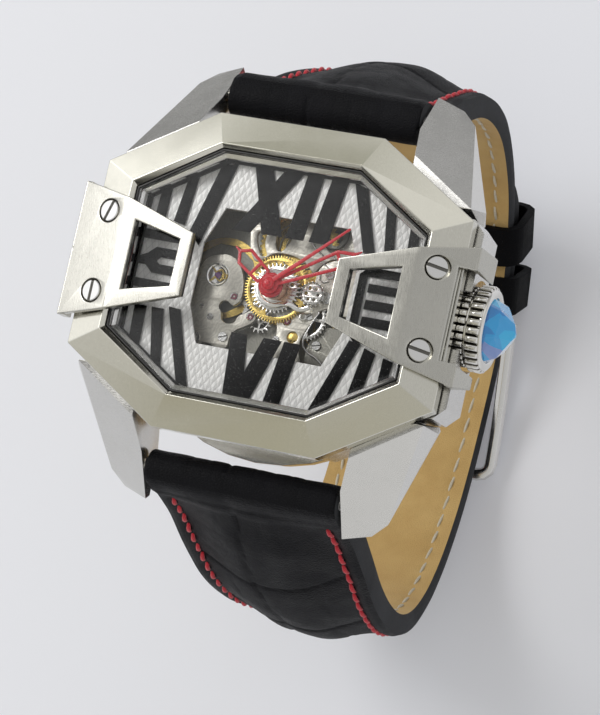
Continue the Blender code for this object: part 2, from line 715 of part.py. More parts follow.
def numerals():
    """Black numeral bars that grow inwards from a thin frame around the dial."""
    edge = octagon(DIAL_HALF_X, DIAL_HALF_Y, DIAL_FLAT_X, DIAL_FLAT_Y)
    inside = octagon(DIAL_HALF_X - 0.4, DIAL_HALF_Y - 0.4, DIAL_FLAT_X - 0.1, DIAL_FLAT_Y - 0.1)
    low, high = NUMERAL_Z
    frame = plate("numerals", [edge, inside], (low, high - 0.06), "numeral_black")
    bars = []
    for k, bar in enumerate(numeral_bars()):
        step = 0.02 * (k % 2)
        bars.append(plate("bar", [bar], (low + 0.03 + step, high - step)))
    return join(frame, *bars)


# ---------------------------------------------------------------- movement


def main_plate():
    """Base plate on the rotor side, with the pivot holes and the pillars of the bridges."""
    holes = [circle(0.6, 12)]
    holes += [circle(0.35, 10, axis) for axis in (BARREL_AXIS, THIRD_AXIS, ESCAPE_AXIS,
                                                  PALLET_AXIS, BALANCE_AXIS)]
    made = plate("main_plate", [circle(MOVEMENT_RADIUS, 40), *holes], PLATE_Z)
    join(made, *(disc("pillar", 0.8, (5.0, 6.78), origin=place, steps=10) for place in PILLARS))
    return cut(made, block("pinion_slot", (8.35, -1.6, 3), (15.0, 1.6, 9)))


def movement_ring():
    """Spacer that holds the movement in the case and carries the dial."""
    low, high = PLATE_Z[0], 9.9
    made = ring("movement_ring", MOVEMENT_RADIUS + 0.5, MOVEMENT_RADIUS + 0.05, (low, high),
                "movement_steel", steps=48)
    slot = block("stem_slot", (12, -1.4, 4), (16, 1.4, 7.3))
    return cut(made, slot)


def train_bridge():
    """Upper bridge over the barrel and the train, open above the escapement and at the top."""
    outline = [(-3.6, 12.9), (-3.9, 9.6), (-2.6, 7.6), (-3.6, 5.2), (-3.0, 3.6), (-3.2, 1.4),
               (-3.0, -1.4), (-2.2, -2.8), (-3.6, -3.2), (-4.3, -4.2), (-3.5, -4.7),
               (-2.6, -4.0), (-0.4, -2.9), (0.6, -3.0), (1.4, -6.0), (3.2, -8.4),
               (3.0, -13.0), (7.4, -11.2), (11.2, -7.6), (13.2, -3.2), (13.3, -1.6),
               (8.35, -1.6), (8.35, 1.6), (13.3, 1.6), (13.0, 4.0), (10.8, 8.2), (6.6, 11.8),
               (1.6, 13.4)]
    slots = [
        [(-2.3, 8.6), (-1.6, 9.4), (-0.4, 9.2), (0.6, 6.6), (0.9, 5.0), (0.3, 4.4),
         (-0.6, 4.7), (-1.6, 6.6)],
        [(6.0, 7.9), (7.6, 8.9), (9.6, 7.4), (9.4, 5.9), (7.6, 5.6), (6.2, 6.6)],
        circle(0.9, 20), circle(0.3, 10, THIRD_AXIS), circle(0.35, 10, BARREL_AXIS),
        circle(0.75, 14, (3.9, -5.7)),
    ]
    return plate("train_bridge", [outline, *slots], BRIDGE_Z)


def balance_cock():
    """Pear-shaped cock that holds the balance's upper pivot."""
    bx, by = BALANCE_AXIS
    head = [(bx + 2.45 * cos(radians(a)), by + 2.45 * sin(radians(a))) for a in range(-10, 191, 20)]
    body = [(-10.9, -2.0), (-10.6, -5.0), (-9.9, -8.2), (-9.2, -10.2), (-7.4, -9.0),
            (-5.0, -9.4), (-3.9, -8.3), (-4.1, -6.6), (-2.9, -5.5), (-4.7, -4.4), (-6.2, -4.9),
            (-7.0, -4.2), (-7.3, -3.0), (-6.0, -2.0), (-5.0, -1.9), (-4.6, -1.2)]
    return plate("balance_cock", [head + body, circle(0.75, 16, BALANCE_AXIS)], COCK_Z)


def wheel(name, teeth, module, levels, finish, axis, turn, spokes=5, hub=0.9):
    """Gear with spokes, turning about its own origin."""
    root = teeth * module / 2 - module
    windows = spoke_windows(hub, root - 0.45, spokes, 0.35)
    return plate(name, [gear(teeth, module, turn), *windows], levels, finish, axis)


def arbor(axis, radius, levels, finish="movement_steel"):
    return disc("arbor", radius, levels, finish, axis, 12)


def pinion(teeth, module, levels, axis, turn, finish="movement_steel"):
    return plate("pinion", [gear(teeth, module, turn)], levels, finish, axis)


def going_train():
    """Barrel, centre wheel, third wheel, fourth wheel with the seconds arbor, escape wheel."""
    centre = wheel("centre_wheel", CENTRE_TEETH, CENTRE_MODULE, CENTRE_Z, "gilt_brass", (0, 0), 0)
    join(centre, disc("centre_pinion_blank", 0.75, (6.1, 6.8), "movement_steel", steps=12),
         pinion(CENTRE_LEAVES, BARREL_MODULE, (6.3, 6.72), (0, 0), 0))
    cut(centre, disc("centre_hole", 0.36, (5, 8), "movement_steel", steps=12))

    turn = mesh_turn(BARREL_AXIS, BARREL_TEETH, 0, CENTRE_LEAVES)
    drum = plate("barrel", [gear(BARREL_TEETH, BARREL_MODULE, turn), circle(0.5, 12)],
                 BARREL_Z, "gilt_brass", BARREL_AXIS)
    cut(drum, ring("drum_hollow", 4.3, 1.0, (6.42, 7.0), "gilt_brass", BARREL_AXIS, 24))

    turn = mesh_turn(THIRD_AXIS, THIRD_LEAVES, 0, CENTRE_TEETH)
    third = wheel("third_wheel", THIRD_TEETH, THIRD_MODULE, THIRD_Z, "gilt_brass", THIRD_AXIS, 0)
    join(third, arbor(THIRD_AXIS, 0.22, (4.8, 7.2)),
         pinion(THIRD_LEAVES, CENTRE_MODULE, (5.8, 6.25), THIRD_AXIS, turn))

    turn = mesh_turn((0, 0), FOURTH_LEAVES, 0, THIRD_TEETH, THIRD_AXIS)
    fourth = wheel("fourth_wheel", FOURTH_TEETH, FOURTH_MODULE, FOURTH_Z, "gilt_brass", (0, 0), 0)
    join(fourth, arbor((0, 0), 0.2, (4.8, 12.9)),
         pinion(FOURTH_LEAVES, THIRD_MODULE, (5.5, 5.92), (0, 0), turn))

    turn = mesh_turn(ESCAPE_AXIS, ESCAPE_LEAVES, 0, FOURTH_TEETH)
    escape = plate("escape_wheel", [escape_outline(15, 1.6)] + spoke_windows(0.45, 1.0, 4, 0.22),
                   ESCAPE_Z, "movement_steel", ESCAPE_AXIS)
    join(escape, arbor(ESCAPE_AXIS, 0.2, (4.8, 7.2)),
         pinion(ESCAPE_LEAVES, FOURTH_MODULE, (5.35, 5.75), ESCAPE_AXIS, turn))


def escape_outline(teeth, radius):
    """Hooked teeth of the escape wheel."""
    points = []
    for i in range(teeth):
        for r, step in ((radius - 0.42, 0.0), (radius, 0.30), (radius, 0.42), (radius - 0.42, 0.5)):
            angle = 2 * pi * (i + step) / teeth
            points.append((r * cos(angle), r * sin(angle)))
    return points


def spiral_strip(turns, first, last, half, count):
    """Outline of a spiral strip between two radii, with its half width."""
    outside, inside = [], []
    for i in range(count + 1):
        share = i / count
        angle, radius = turns * 360 * share, first + (last - first) * share
        outside.append(polar(radius + half, angle))
        inside.append(polar(radius - half, angle))
    return outside + inside[::-1]


def mainspring():
    """Spiral strip inside the barrel."""
    outline = spiral_strip(3.2, 1.35, 4.05, 0.07, 52)
    return plate("mainspring", [outline], (6.48, 6.66), "dark_steel", BARREL_AXIS)


def pallet_fork():
    """Lever from the escape wheel to the balance, with two arms and a slotted end."""
    bx, by = BALANCE_AXIS[0] - PALLET_AXIS[0], BALANCE_AXIS[1] - PALLET_AXIS[1]
    reach = hypot(bx, by) - 0.75
    along = atan2(by, bx)
    half = [(reach, 0.16), (reach, 0.45), (reach - 0.6, 0.14), (0.3, 0.28), (0.0, 1.05),
            (-0.9, 1.2), (-0.85, 0.85), (-0.3, 0.7), (-0.35, 0.0)]
    outline = [(reach - 0.35, 0.0)] + half + [(x, -y) for x, y in half[-2::-1]]
    turned_outline = [(x * cos(along) - y * sin(along), x * sin(along) + y * cos(along))
                      for x, y in outline]
    made = plate("pallet_fork", [turned_outline], (6.36, 6.5), "movement_steel", PALLET_AXIS)
    return join(made, arbor(PALLET_AXIS, 0.2, (4.8, 7.2)))


def balance():
    """Gilt balance wheel with two arms on its staff, and the flat hairspring above it."""
    windows = spoke_windows(0.8, BALANCE_RADIUS - 0.75, 2, 0.6)
    made = plate("balance_wheel", [circle(BALANCE_RADIUS, 44), *windows], BALANCE_Z, "gilt_brass",
                 BALANCE_AXIS)
    join(made, arbor(BALANCE_AXIS, 0.24, (4.8, 7.35)))
    outline = spiral_strip(4.0, 0.55, 2.5, 0.045, 56)
    plate("hairspring", [outline], (6.04, 6.2), "hairspring_blue", BALANCE_AXIS)


def motion_works():
    """Cannon pinion, minute wheel, hour wheel, and the small wheels on the dial side."""
    cannon = plate("cannon_pinion", [gear(CANNON_TEETH, CANNON_MODULE, 0)], CANNON_Z,
                   "movement_steel")
    join(cannon, disc("cannon_tube", 0.85, (7.4, 12.1), "movement_steel", steps=20))
    cut(cannon, disc("cannon_bore", 0.4, (7, 13), "movement_steel", steps=14))

    turn = mesh_turn(MINUTE_AXIS, MINUTE_TEETH, 0, CANNON_TEETH)
    minute = wheel("minute_wheel", MINUTE_TEETH, CANNON_MODULE, CANNON_Z, "gilt_brass",
                   MINUTE_AXIS, turn)
    leaf_turn = mesh_turn(MINUTE_AXIS, MINUTE_LEAVES, 0, HOUR_TEETH)
    join(minute, pinion(MINUTE_LEAVES, HOUR_MODULE, (7.6, 8.65), MINUTE_AXIS, leaf_turn))
    cut(minute, disc("minute_bore", 0.3, (7, 9), "movement_steel", MINUTE_AXIS, 12))

    hour = wheel("hour_wheel", HOUR_TEETH, HOUR_MODULE, HOUR_Z, "gilt_brass", (0, 0), 0, 6, 1.9)
    tube = turned("hour_tube", [(0, 11.3), (1.25, 11.3), (1.5, 8.45), (0, 8.45)], "copper")
    join(hour, tube)
    cut(hour, disc("hour_bore", 0.97, (8, 13), "movement_steel", steps=20))

    plate("hour_drive_wheel", [gear(DRIVE_TEETH, DRIVE_MODULE, 0), circle(1.62, 24)], DRIVE_Z,
          "movement_steel")
    turn = mesh_turn(IDLER_AXIS, IDLER_TEETH, 0, DRIVE_TEETH)
    plate("intermediate_wheel", [gear(IDLER_TEETH, DRIVE_MODULE, turn), circle(0.35, 12)],
          DRIVE_Z, "movement_steel", IDLER_AXIS)


def motion_cover():
    """Steel cover over the minute wheel and the keyless works."""
    outline = [(2.2, 0.6), (2.6, 2.6), (3.4, 4.6), (5.2, 6.2), (8.2, 6.4), (11.0, 4.4),
               (12.2, 1.6), (12.2, -1.2), (10.6, -2.6), (8.2, -3.2), (6.8, -5.4), (4.6, -6.6),
               (2.6, -5.6), (1.2, -3.8), (1.8, -2.2), (3.2, -2.2), (3.4, -1.2), (2.4, -0.6)]
    made = plate("motion_cover", [outline, circle(1.15, 16, MINUTE_AXIS)], COVER_Z)
    posts = [disc("post", 0.55, (7.35, 8.0), "movement_steel", place, 12)
             for place in ((7.0, 5.4), (10.6, 0.0), (9.6, 2.6))]
    pin = disc("idler_pin", 0.3, (8.0, 9.4), "movement_steel", IDLER_AXIS, 12)
    return join(made, *posts, pin)


def hour_spring():
    """Curved steel spring that lies round the hour tube."""
    outer = [polar(2.25, a) for a in range(160, 331, 17)]
    inner = [polar(1.75, a) for a in range(330, 159, -17)]
    tail = [(2.35, -1.35), (2.8, -1.5), (4.1, -2.1), (5.1, -1.85), (5.0, -1.3), (4.1, -1.5),
            (2.9, -0.95), (2.3, -0.75)]
    outline = outer + tail + inner
    return plate("hour_spring", [outline], (9.4, 9.55), "polished_steel")


def winding_work():
    """Ratchet and crown wheels under the plate, and the pinion on the stem."""
    ratchet = plate("ratchet_wheel", [gear(RATCHET_TEETH, WINDING_MODULE, 0)], WINDING_Z,
                    "movement_steel", BARREL_AXIS)
    join(ratchet, arbor(BARREL_AXIS, 0.3, (4.3, 7.2)))
    turn = mesh_turn(CROWN_WHEEL_AXIS, CROWN_WHEEL_TEETH, 0, RATCHET_TEETH, BARREL_AXIS)
    plate("crown_wheel", [gear(CROWN_WHEEL_TEETH, WINDING_MODULE, turn), circle(0.7, 14)],
          WINDING_Z, "movement_steel", CROWN_WHEEL_AXIS)
    plate("winding_pinion", [gear(12, 0.2, 0), circle(0.62, 14)], (8.5, 9.9),
          "movement_steel", (0, 0, CROWN_Z), (1, 0, 0))


def rotor():
    """Half-disc winding weight on its bearing under the plate."""
    edge = [polar(12.9, a) for a in range(-180, 1, 12)]
    outline = edge + [(12.0, 0.9), (3.0, 1.0), (1.9, 1.9), (0, 2.4), (-1.9, 1.9), (-3.0, 1.0),
                     (-12.0, 0.9)]
    made = plate("rotor", [outline, circle(1.0, 20)], ROTOR_Z, "movement_steel")
    rim = [polar(13.1, a) for a in range(-174, -5, 12)]
    rim += [polar(10.6, a) for a in range(-6, -175, -12)]
    join(made, plate("rotor_rim", [rim], ROTOR_RIM_Z))
    profile = [(0, 4.6), (0.9, 4.6), (0.9, 1.85), (0, 1.85)]
    turned("rotor_bearing", profile, "polished_steel", steps=20)


# ---------------------------------------------------------------- hands


def crossing(first, second):
    """Point where two lines meet, each given as (normal x, normal y, distance)."""
    scale = first[0] * second[1] - first[1] * second[0]
    return ((first[2] * second[1] - first[1] * second[2]) / scale,
            (first[0] * second[2] - first[2] * second[0]) / scale)


def inset(corners, width):
    """Convex outline, anticlockwise, drawn in by a width."""
    lines = []
    for (ax, ay), (bx, by) in zip(corners, corners[1:] + corners[:1]):
        length = hypot(bx - ax, by - ay)
        across = (-(by - ay) / length, (bx - ax) / length)
        lines.append((*across, across[0] * ax + across[1] * ay + width))
    return [crossing(a, b) for a, b in zip(lines[-1:] + lines[:-1], lines)]


def beyond(corners, limit, side):
    """The part of an outline whose x is past a limit, on the side given by a sign."""
    kept = []
    for a, b in zip(corners, corners[1:] + corners[:1]):
        if side * (a[0] - limit) >= 0:
            kept.append(a)
        if (a[0] - limit) * (b[0] - limit) < 0:
            share = (limit - a[0]) / (b[0] - a[0])
            kept.append((limit, a[1] + (b[1] - a[1]) * share))
    return kept


def skeleton_hand(name, angle, levels, corners, rail, bar, tail, hub, tube_hole):
    """Open hand: a rail along its corners, a cross bar at a distance, a tail and a hub."""
    low, high = levels
    inside = inset(corners, rail)
    windows = [beyond(inside, bar - rail / 2, -1), beyond(inside, bar + rail / 2, 1)]
    turn = Matrix.Rotation(radians(angle), 2)
    spin = [[tuple(turn @ Vector(p)) for p in line] for line in (corners, *windows)]
    made = plate(name, spin, levels, "hand_red")
    tip = max(corner[0] for corner in corners)
    pointer = [(tip - rail * 1.2, -rail / 2), (tail, -0.12), (tail, 0.12),
               (tip - rail * 1.2, rail / 2)]
    foot = [(0, -rail), (corners[0][0] + rail, -rail), (corners[0][0] + rail, rail), (0, rail)]
    for outline in (pointer, foot):
        join(made, plate("strip", [[tuple(turn @ Vector(p)) for p in outline]], levels))
    join(made, turned("hub", [(0, high + 0.12), (hub - 0.15, high + 0.12), (hub, high - 0.03),
                              (hub, low - 0.1), (0, low - 0.1)], "hand_red", steps=28))
    return cut(made, disc("tube_hole", tube_hole, (5, 14), "hand_red", steps=20))


def seconds_hand(angle):
    length, low, high = 12.2, *SECONDS_HAND_Z
    outline = [(0, -0.3), (length, -0.14), (length, 0.14), (0, 0.3)]
    turn = Matrix.Rotation(radians(angle), 2)
    made = plate("seconds_hand", [[tuple(turn @ Vector(p)) for p in outline]], SECONDS_HAND_Z,
                 "hand_red")
    join(made, turned("hub", [(0, high + 0.2), (0.55, high + 0.2), (0.75, high), (0.75, low - 0.1),
                              (0, low - 0.1)], "hand_red", steps=24))
    return cut(made, disc("arbor_hole", 0.24, (5, 12.95), "hand_red", steps=12))


# ---------------------------------------------------------------- crown


def crown():
    """Crown with two fluted tiers, a plain groove between them and a recess for the stone."""
    along, axis = (1, 0, 0), (0, 0, CROWN_Z)
    made = plate("crown", [flutes(CROWN_RADIUS, 0.4)], (25.5, 27.05), "polished_steel", axis,
                 along)
    join(made, plate("tier", [flutes(4.95, 0.4)], (CROWN_BASE_X, 25.2), "polished_steel", axis,
                     along),
         rod("rim", (24, 0, CROWN_Z), (CROWN_FACE_X, 0, CROWN_Z), 4.5, "polished_steel", 24))
    return cut(made, rod("skirt", (20, 0, CROWN_Z), (24.9, 0, CROWN_Z), 3.1, "polished_steel", 24),
               rod("seat", (26.7, 0, CROWN_Z), (30, 0, CROWN_Z), 4.1, "polished_steel", 24),
               rod("bore", (24, 0, CROWN_Z), (26.3, 0, CROWN_Z), 0.55, "polished_steel", 14))


def flutes(radius, depth):
    points = []
    for i in range(CROWN_FLUTES):
        for r, step in ((radius - depth, 0.0), (radius, 0.18), (radius, 0.52),
                        (radius - depth, 0.70)):
            angle = 2 * pi * (i + step) / CROWN_FLUTES
            points.append((r * cos(angle), r * sin(angle)))
    return points


def crown_stone():
    """Faceted glass cabochon: a few steps round an axis make flat facets."""
    profile = [(0, 30.3), (1.7, 30.0), (3.2, 28.7), (3.95, 27.3), (3.95, 26.8), (0, 26.8)]
    stone = turned("crown_stone", profile, "crown_stone", (0, 0, CROWN_Z), (1, 0, 0), 10)
    return stone


def crown_seals():
    axis = (0, 0, CROWN_Z)
    turned("crown_tube", [(1.4, 24.6), (1.4, 21.5), (0.75, 21.5), (0.75, 24.6)],
           "polished_steel", axis, (1, 0, 0), 20, closed=True)
    turned("crown_gasket", [(2.9, 24.2), (2.9, 23.6), (1.6, 23.6), (1.6, 24.2)],
           "gasket_black", axis, (1, 0, 0), 20, closed=True)
    return rod("winding_stem", (8.45, 0, CROWN_Z), (26.2, 0, CROWN_Z), 0.5, "movement_steel", 14)


# ---------------------------------------------------------------- case back


def case_back():
    """Screwed ring round a flat window, its neck reaching up into the case."""
    glass = BACK_GLASS_RADIUS + 0.05
    profile = [(BACK_RADIUS, 2.4), (BACK_RADIUS, 0.9), (BACK_RADIUS - 1.6, 0.0), (glass, 0.0),
               (glass, 1.05), (glass - 0.6, 1.05), (glass - 0.6, 1.7), (16.0, 1.7),
               (16.0, 3.4), (17.2, 3.4), (17.2, 2.4)]
    turned("case_back", profile, "polished_steel", steps=36, closed=True)
    disc("case_back_crystal", BACK_GLASS_RADIUS, (0.0, 1.0), "crystal", steps=36)
    turned("case_back_gasket", [(17.5, 3.2), (17.5, 2.6), (17.27, 2.6), (17.27, 3.2)],
           "gasket_black", steps=36, closed=True)


# ---------------------------------------------------------------- strap and buckle


def spring_bar(name, end):
    y = end * BAR_Y
    made = rod(name, (-12.9, y, BAR_Z), (12.9, y, BAR_Z), 0.8, "polished_steel")
    return join(made, rod("tips", (-14.4, y, BAR_Z), (14.4, y, BAR_Z), 0.45, "polished_steel", 12))


def tapered(first, last, tip=1.0, tip_from=1.0):
    """Half width along a strap, with an optional pointed end."""

    def width(share):
        w = first + (last - first) * min(1.0, share * 1.25)
        if share > tip_from:
            part = (share - tip_from) / (1 - tip_from)
            w *= 1 - (1 - tip) * part ** 2
        return w

    return width


def padded(first, middle, last):
    """Thickness along a strap: fullest beside the lugs."""

    def thickness(share):
        if share < 0.3:
            return first + (middle - first) * share / 0.3
        return middle + (last - middle) * (share - 0.3) / 0.7

    return thickness


def strap_loop(end):
    """Rolled end of a strap round its spring bar."""
    profile = [(2.15, 12.6), (2.15, -12.6), (0.95, -12.6), (0.95, 12.6)]
    return turned("loop", profile, "black_leather", (0, end * BAR_Y, BAR_Z), (1, 0, 0), 20,
                  closed=True)


def bar_clearance(end):
    return rod("bar_space", (-15, end * BAR_Y, BAR_Z), (15, end * BAR_Y, BAR_Z), 0.95,
               "black_leather", 20)


def straps():
    path = smooth_path(UPPER_STRAP, 2)
    upper = strap_band("strap_upper", path, tapered(STRAP_HALF_LUG, STRAP_HALF_BUCKLE),
                       padded(4.0, 3.2, 2.6), "black_leather", -1)
    y, z = BUCKLE_BAR
    loop = turned("buckle_loop", [(2.1, 10.8), (2.1, -10.8), (1.05, -10.8), (1.05, 10.8)],
                  "black_leather", (0, y, z), (1, 0, 0), 20, closed=True)
    join(upper, loop, strap_loop(1))
    cut(upper, rod("bar_space", (-15, y, z), (15, y, z), 1.05, "black_leather", 20),
        bar_clearance(1), block("tongue_gap", (-1.4, y - 4, z - 4), (1.4, y + 2.6, z + 4)))

    path = smooth_path(LOWER_STRAP, 2)
    lower = strap_band("strap_lower", path, tapered(STRAP_HALF_LUG, 10.6, 0.35, 0.93),
                       padded(4.0, 3.0, 2.3), "black_leather", 1)
    join(lower, strap_loop(-1))
    cut(lower, bar_clearance(-1), block("tongue_hole", (-1.3, -5.6, -70), (1.3, 2.4, -60)))


def rounded_frame(name, half_x, half_z, wall, length, place, tilt, finish):
    """Rectangular leather or metal loop with rounded corners, tilted about X."""
    radius = min(1.6, half_z * 0.6)

    def outline(grow):
        points = []
        for sx, sz, start in ((1, 1, 0), (-1, 1, 90), (-1, -1, 180), (1, -1, 270)):
            cx, cz = sx * (half_x - radius), sz * (half_z - radius)
            points += [(cx + (radius + grow) * cos(radians(start + a)),
                        cz + (radius + grow) * sin(radians(start + a))) for a in (0, 30, 60, 90)]
        return points

    made = plate(name, [outline(wall), outline(0)], (-length / 2, length / 2), finish)
    made.rotation_euler = (radians(90 + tilt), 0, 0)
    made.location = Vector((0, *place)) * MM
    return made


def keepers():
    rounded_frame("keeper_fixed", 11.6, 4.75, KEEPER_WALL, 5.6, (15.6, -62.75), 22,
                  "black_leather")
    rounded_frame("keeper_free", 11.6, 4.2, KEEPER_WALL, 5.8, (23.1, -58.65), 35,
                  "black_leather")


def buckle():
    """Bowed frame bent from one bar, its spring bar and the tongue."""
    (by, bz), (fy, fz) = BUCKLE_BAR, BUCKLE_FRONT
    span = BUCKLE_HALF_X - 0.8
    side = [(span, by + 1.5, bz + 0.3), (span, by, bz), (span, 4.5, -62.9), (span, -1.0, -64.8),
            (span, -6.0, -66.1), (span, fy + 1.8, fz + 0.3)]
    corner = [(span - 1.8 * (1 - cos(radians(a))), fy + 1.8 * (1 - sin(radians(a))), fz)
              for a in (30, 60, 90)]
    half = side + corner
    path = half + [(-x, y, z) for x, y, z in reversed(half)]
    made = tube("buckle_frame", path, 0.95, "polished_steel")
    cut(made, rod("bar_hole", (-20, by, bz), (20, by, bz), 0.5, "polished_steel", 12))
    bar = rod("buckle_bar", (-11.2, by, bz), (11.2, by, bz), 0.75, "polished_steel", 14)
    join(bar, rod("tips", (-12.9, by, bz), (12.9, by, bz), 0.4, "polished_steel", 10))
    tongue()
    return made


def tongue():
    """Flat tongue that turns on the buckle's bar and rests on the frame's front bar."""
    (by, bz), (fy, fz) = BUCKLE_BAR, BUCKLE_FRONT
    low = fz - 0.95 - GAP
    path = [(by - 0.6, bz - 1.3), (1.2, bz - 1.7), (-4.8, bz - 5.15), (fy + 0.4, low),
            (fy - 0.9, low + 0.25)]
    outline = [(y, z) for y, z in path] + [(y, z - 0.75) for y, z in reversed(path)]
    made = plate("buckle_tongue", [[(y - by, z - bz) for y, z in outline]], (-0.95, 0.95),
                 "polished_steel", (0, by, bz))
    turn = Matrix(((0, 0, 1), (1, 0, 0), (0, 1, 0))).to_4x4()
    made.data.transform(turn)
    made.location = Vector((0, by, bz)) * MM
    eye = turned("eye", [(1.6, 0.95), (1.6, -0.95), (0.85, -0.95), (0.85, 0.95)],
                 "polished_steel", (0, by, bz), (1, 0, 0), 20, closed=True)
    join(made, eye)
    return cut(made, rod("eye_bore", (-2, by, bz), (2, by, bz), 0.85, "polished_steel", 20))


# ---------------------------------------------------------------- assembly


def build():
    case_middle()
    bezel()
    crystal_gasket()
    crystal()
    inner_flange()
    for name, side in (("bracket_right", 1), ("bracket_left", -1)):
        bracket(name, side)
        bracket_pad(name.replace("bracket", "bracket_pad"), side)
    slot_angles = iter((-8, -8, 70, 90))
    for side in (1, -1):
        for end in (1, -1):
            place = ("right" if side > 0 else "left") + ("_upper" if end > 0 else "_lower")
            bracket_screw("bracket_screw_" + place, side, end, next(slot_angles))
    dial()
    numerals()
    movement_ring()
    main_plate()
    train_bridge()
    balance_cock()
    going_train()
    mainspring()
    pallet_fork()
    balance()
    motion_works()
    motion_cover()
    hour_spring()
    winding_work()
    rotor()
    corners = [(0.9, 0), (1.46, -1.12), (5.1, -1.3), (6.3, 0), (5.1, 1.3), (1.46, 1.12)]
    skeleton_hand("hour_hand", 144, HOUR_HAND_Z, corners, 0.34, 2.95, 6.85, 1.6, 1.3)
    corners = [(1.0, -0.5), (9.45, -1.25), (11.9, 0), (9.45, 1.25), (1.0, 0.5)]
    skeleton_hand("minute_hand", 28.6, MINUTE_HAND_Z, corners, 0.36, 9.3, 12.3, 1.35, 0.9)
    seconds_hand(43.2)
    crown()
    crown_stone()
    crown_seals()
    case_back()
    spring_bar("spring_bar_upper", 1)
    spring_bar("spring_bar_lower", -1)
    straps()
    keepers()
    buckle()


build()
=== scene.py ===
"""Looks of the octagonal skeleton wristwatch: fine meshes, materials, light and camera.

Lengths are in millimetres in the part's frame (+Z out of the dial, +X to three o'clock) and
are scaled to metres when a mesh is made. Angles are in degrees unless a name says otherwise."""
import json
import random
from math import atan2, cos, exp, hypot, pi, radians, sin, sqrt

import bmesh
import bpy
from mathutils import Matrix, Vector, noise

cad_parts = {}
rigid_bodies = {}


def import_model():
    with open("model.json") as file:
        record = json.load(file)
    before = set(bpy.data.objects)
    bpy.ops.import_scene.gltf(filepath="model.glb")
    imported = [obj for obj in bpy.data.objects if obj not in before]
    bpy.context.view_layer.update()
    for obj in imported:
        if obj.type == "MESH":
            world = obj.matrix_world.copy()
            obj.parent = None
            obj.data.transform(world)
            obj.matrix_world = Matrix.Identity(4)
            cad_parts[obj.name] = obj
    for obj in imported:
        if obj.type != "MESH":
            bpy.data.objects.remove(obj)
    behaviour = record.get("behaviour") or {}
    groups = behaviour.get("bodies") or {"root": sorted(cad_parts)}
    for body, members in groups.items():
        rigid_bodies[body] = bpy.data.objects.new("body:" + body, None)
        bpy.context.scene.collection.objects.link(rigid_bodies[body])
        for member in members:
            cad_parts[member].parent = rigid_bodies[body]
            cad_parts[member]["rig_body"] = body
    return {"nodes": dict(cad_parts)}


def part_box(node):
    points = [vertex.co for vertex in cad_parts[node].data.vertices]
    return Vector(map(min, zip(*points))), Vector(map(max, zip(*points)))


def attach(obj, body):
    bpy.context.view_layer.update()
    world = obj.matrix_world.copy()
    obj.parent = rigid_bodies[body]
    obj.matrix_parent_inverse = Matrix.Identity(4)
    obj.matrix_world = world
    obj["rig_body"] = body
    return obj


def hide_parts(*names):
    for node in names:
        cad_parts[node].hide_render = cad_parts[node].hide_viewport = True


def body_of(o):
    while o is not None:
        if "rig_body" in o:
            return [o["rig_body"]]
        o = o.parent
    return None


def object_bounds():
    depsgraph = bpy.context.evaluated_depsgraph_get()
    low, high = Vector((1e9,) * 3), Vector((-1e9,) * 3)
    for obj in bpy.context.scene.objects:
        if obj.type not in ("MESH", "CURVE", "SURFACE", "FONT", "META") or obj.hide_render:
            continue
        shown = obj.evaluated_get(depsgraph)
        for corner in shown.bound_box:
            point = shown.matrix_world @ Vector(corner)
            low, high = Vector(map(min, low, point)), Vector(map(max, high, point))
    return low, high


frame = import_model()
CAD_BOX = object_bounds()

MM = 0.001
NODES = frame["nodes"]

# ---------------------------------------------------------------- materials


class Graph:
    """Shader nodes of a material or of the world."""

    def __init__(self, owner):
        owner.use_nodes = True
        self.tree = owner.node_tree

    def node(self, kind, links=None, values=None, **settings):
        made = self.tree.nodes.new(kind)
        for key, value in settings.items():
            setattr(made, key, value)
        for key, value in (values or {}).items():
            made.inputs[key].default_value = value
        for key, output in (links or {}).items():
            self.tree.links.new(output, made.inputs[key])
        return made

    def math(self, operation, a, b=0.0):
        made = self.node("ShaderNodeMath", operation=operation)
        for slot, value in enumerate((a, b)):
            if isinstance(value, (int, float)):
                made.inputs[slot].default_value = value
            else:
                self.tree.links.new(value, made.inputs[slot])
        return made.outputs[0]

    def spread(self, value, low, high, start=0.3, end=0.7):
        """The stretch start..end of a value, spread over low..high."""
        made = self.node("ShaderNodeMapRange", {"Value": value},
                         {"From Min": start, "From Max": end, "To Min": low, "To Max": high})
        return made.outputs["Result"]

    def mix(self, share, first, second):
        made = self.node("ShaderNodeMix", data_type="RGBA")
        for slot, value in ((0, share), (6, first), (7, second)):
            if isinstance(value, tuple):
                made.inputs[slot].default_value = (*value, 1.0)
            elif isinstance(value, float):
                made.inputs[slot].default_value = value
            else:
                self.tree.links.new(value, made.inputs[slot])
        return made.outputs[2]


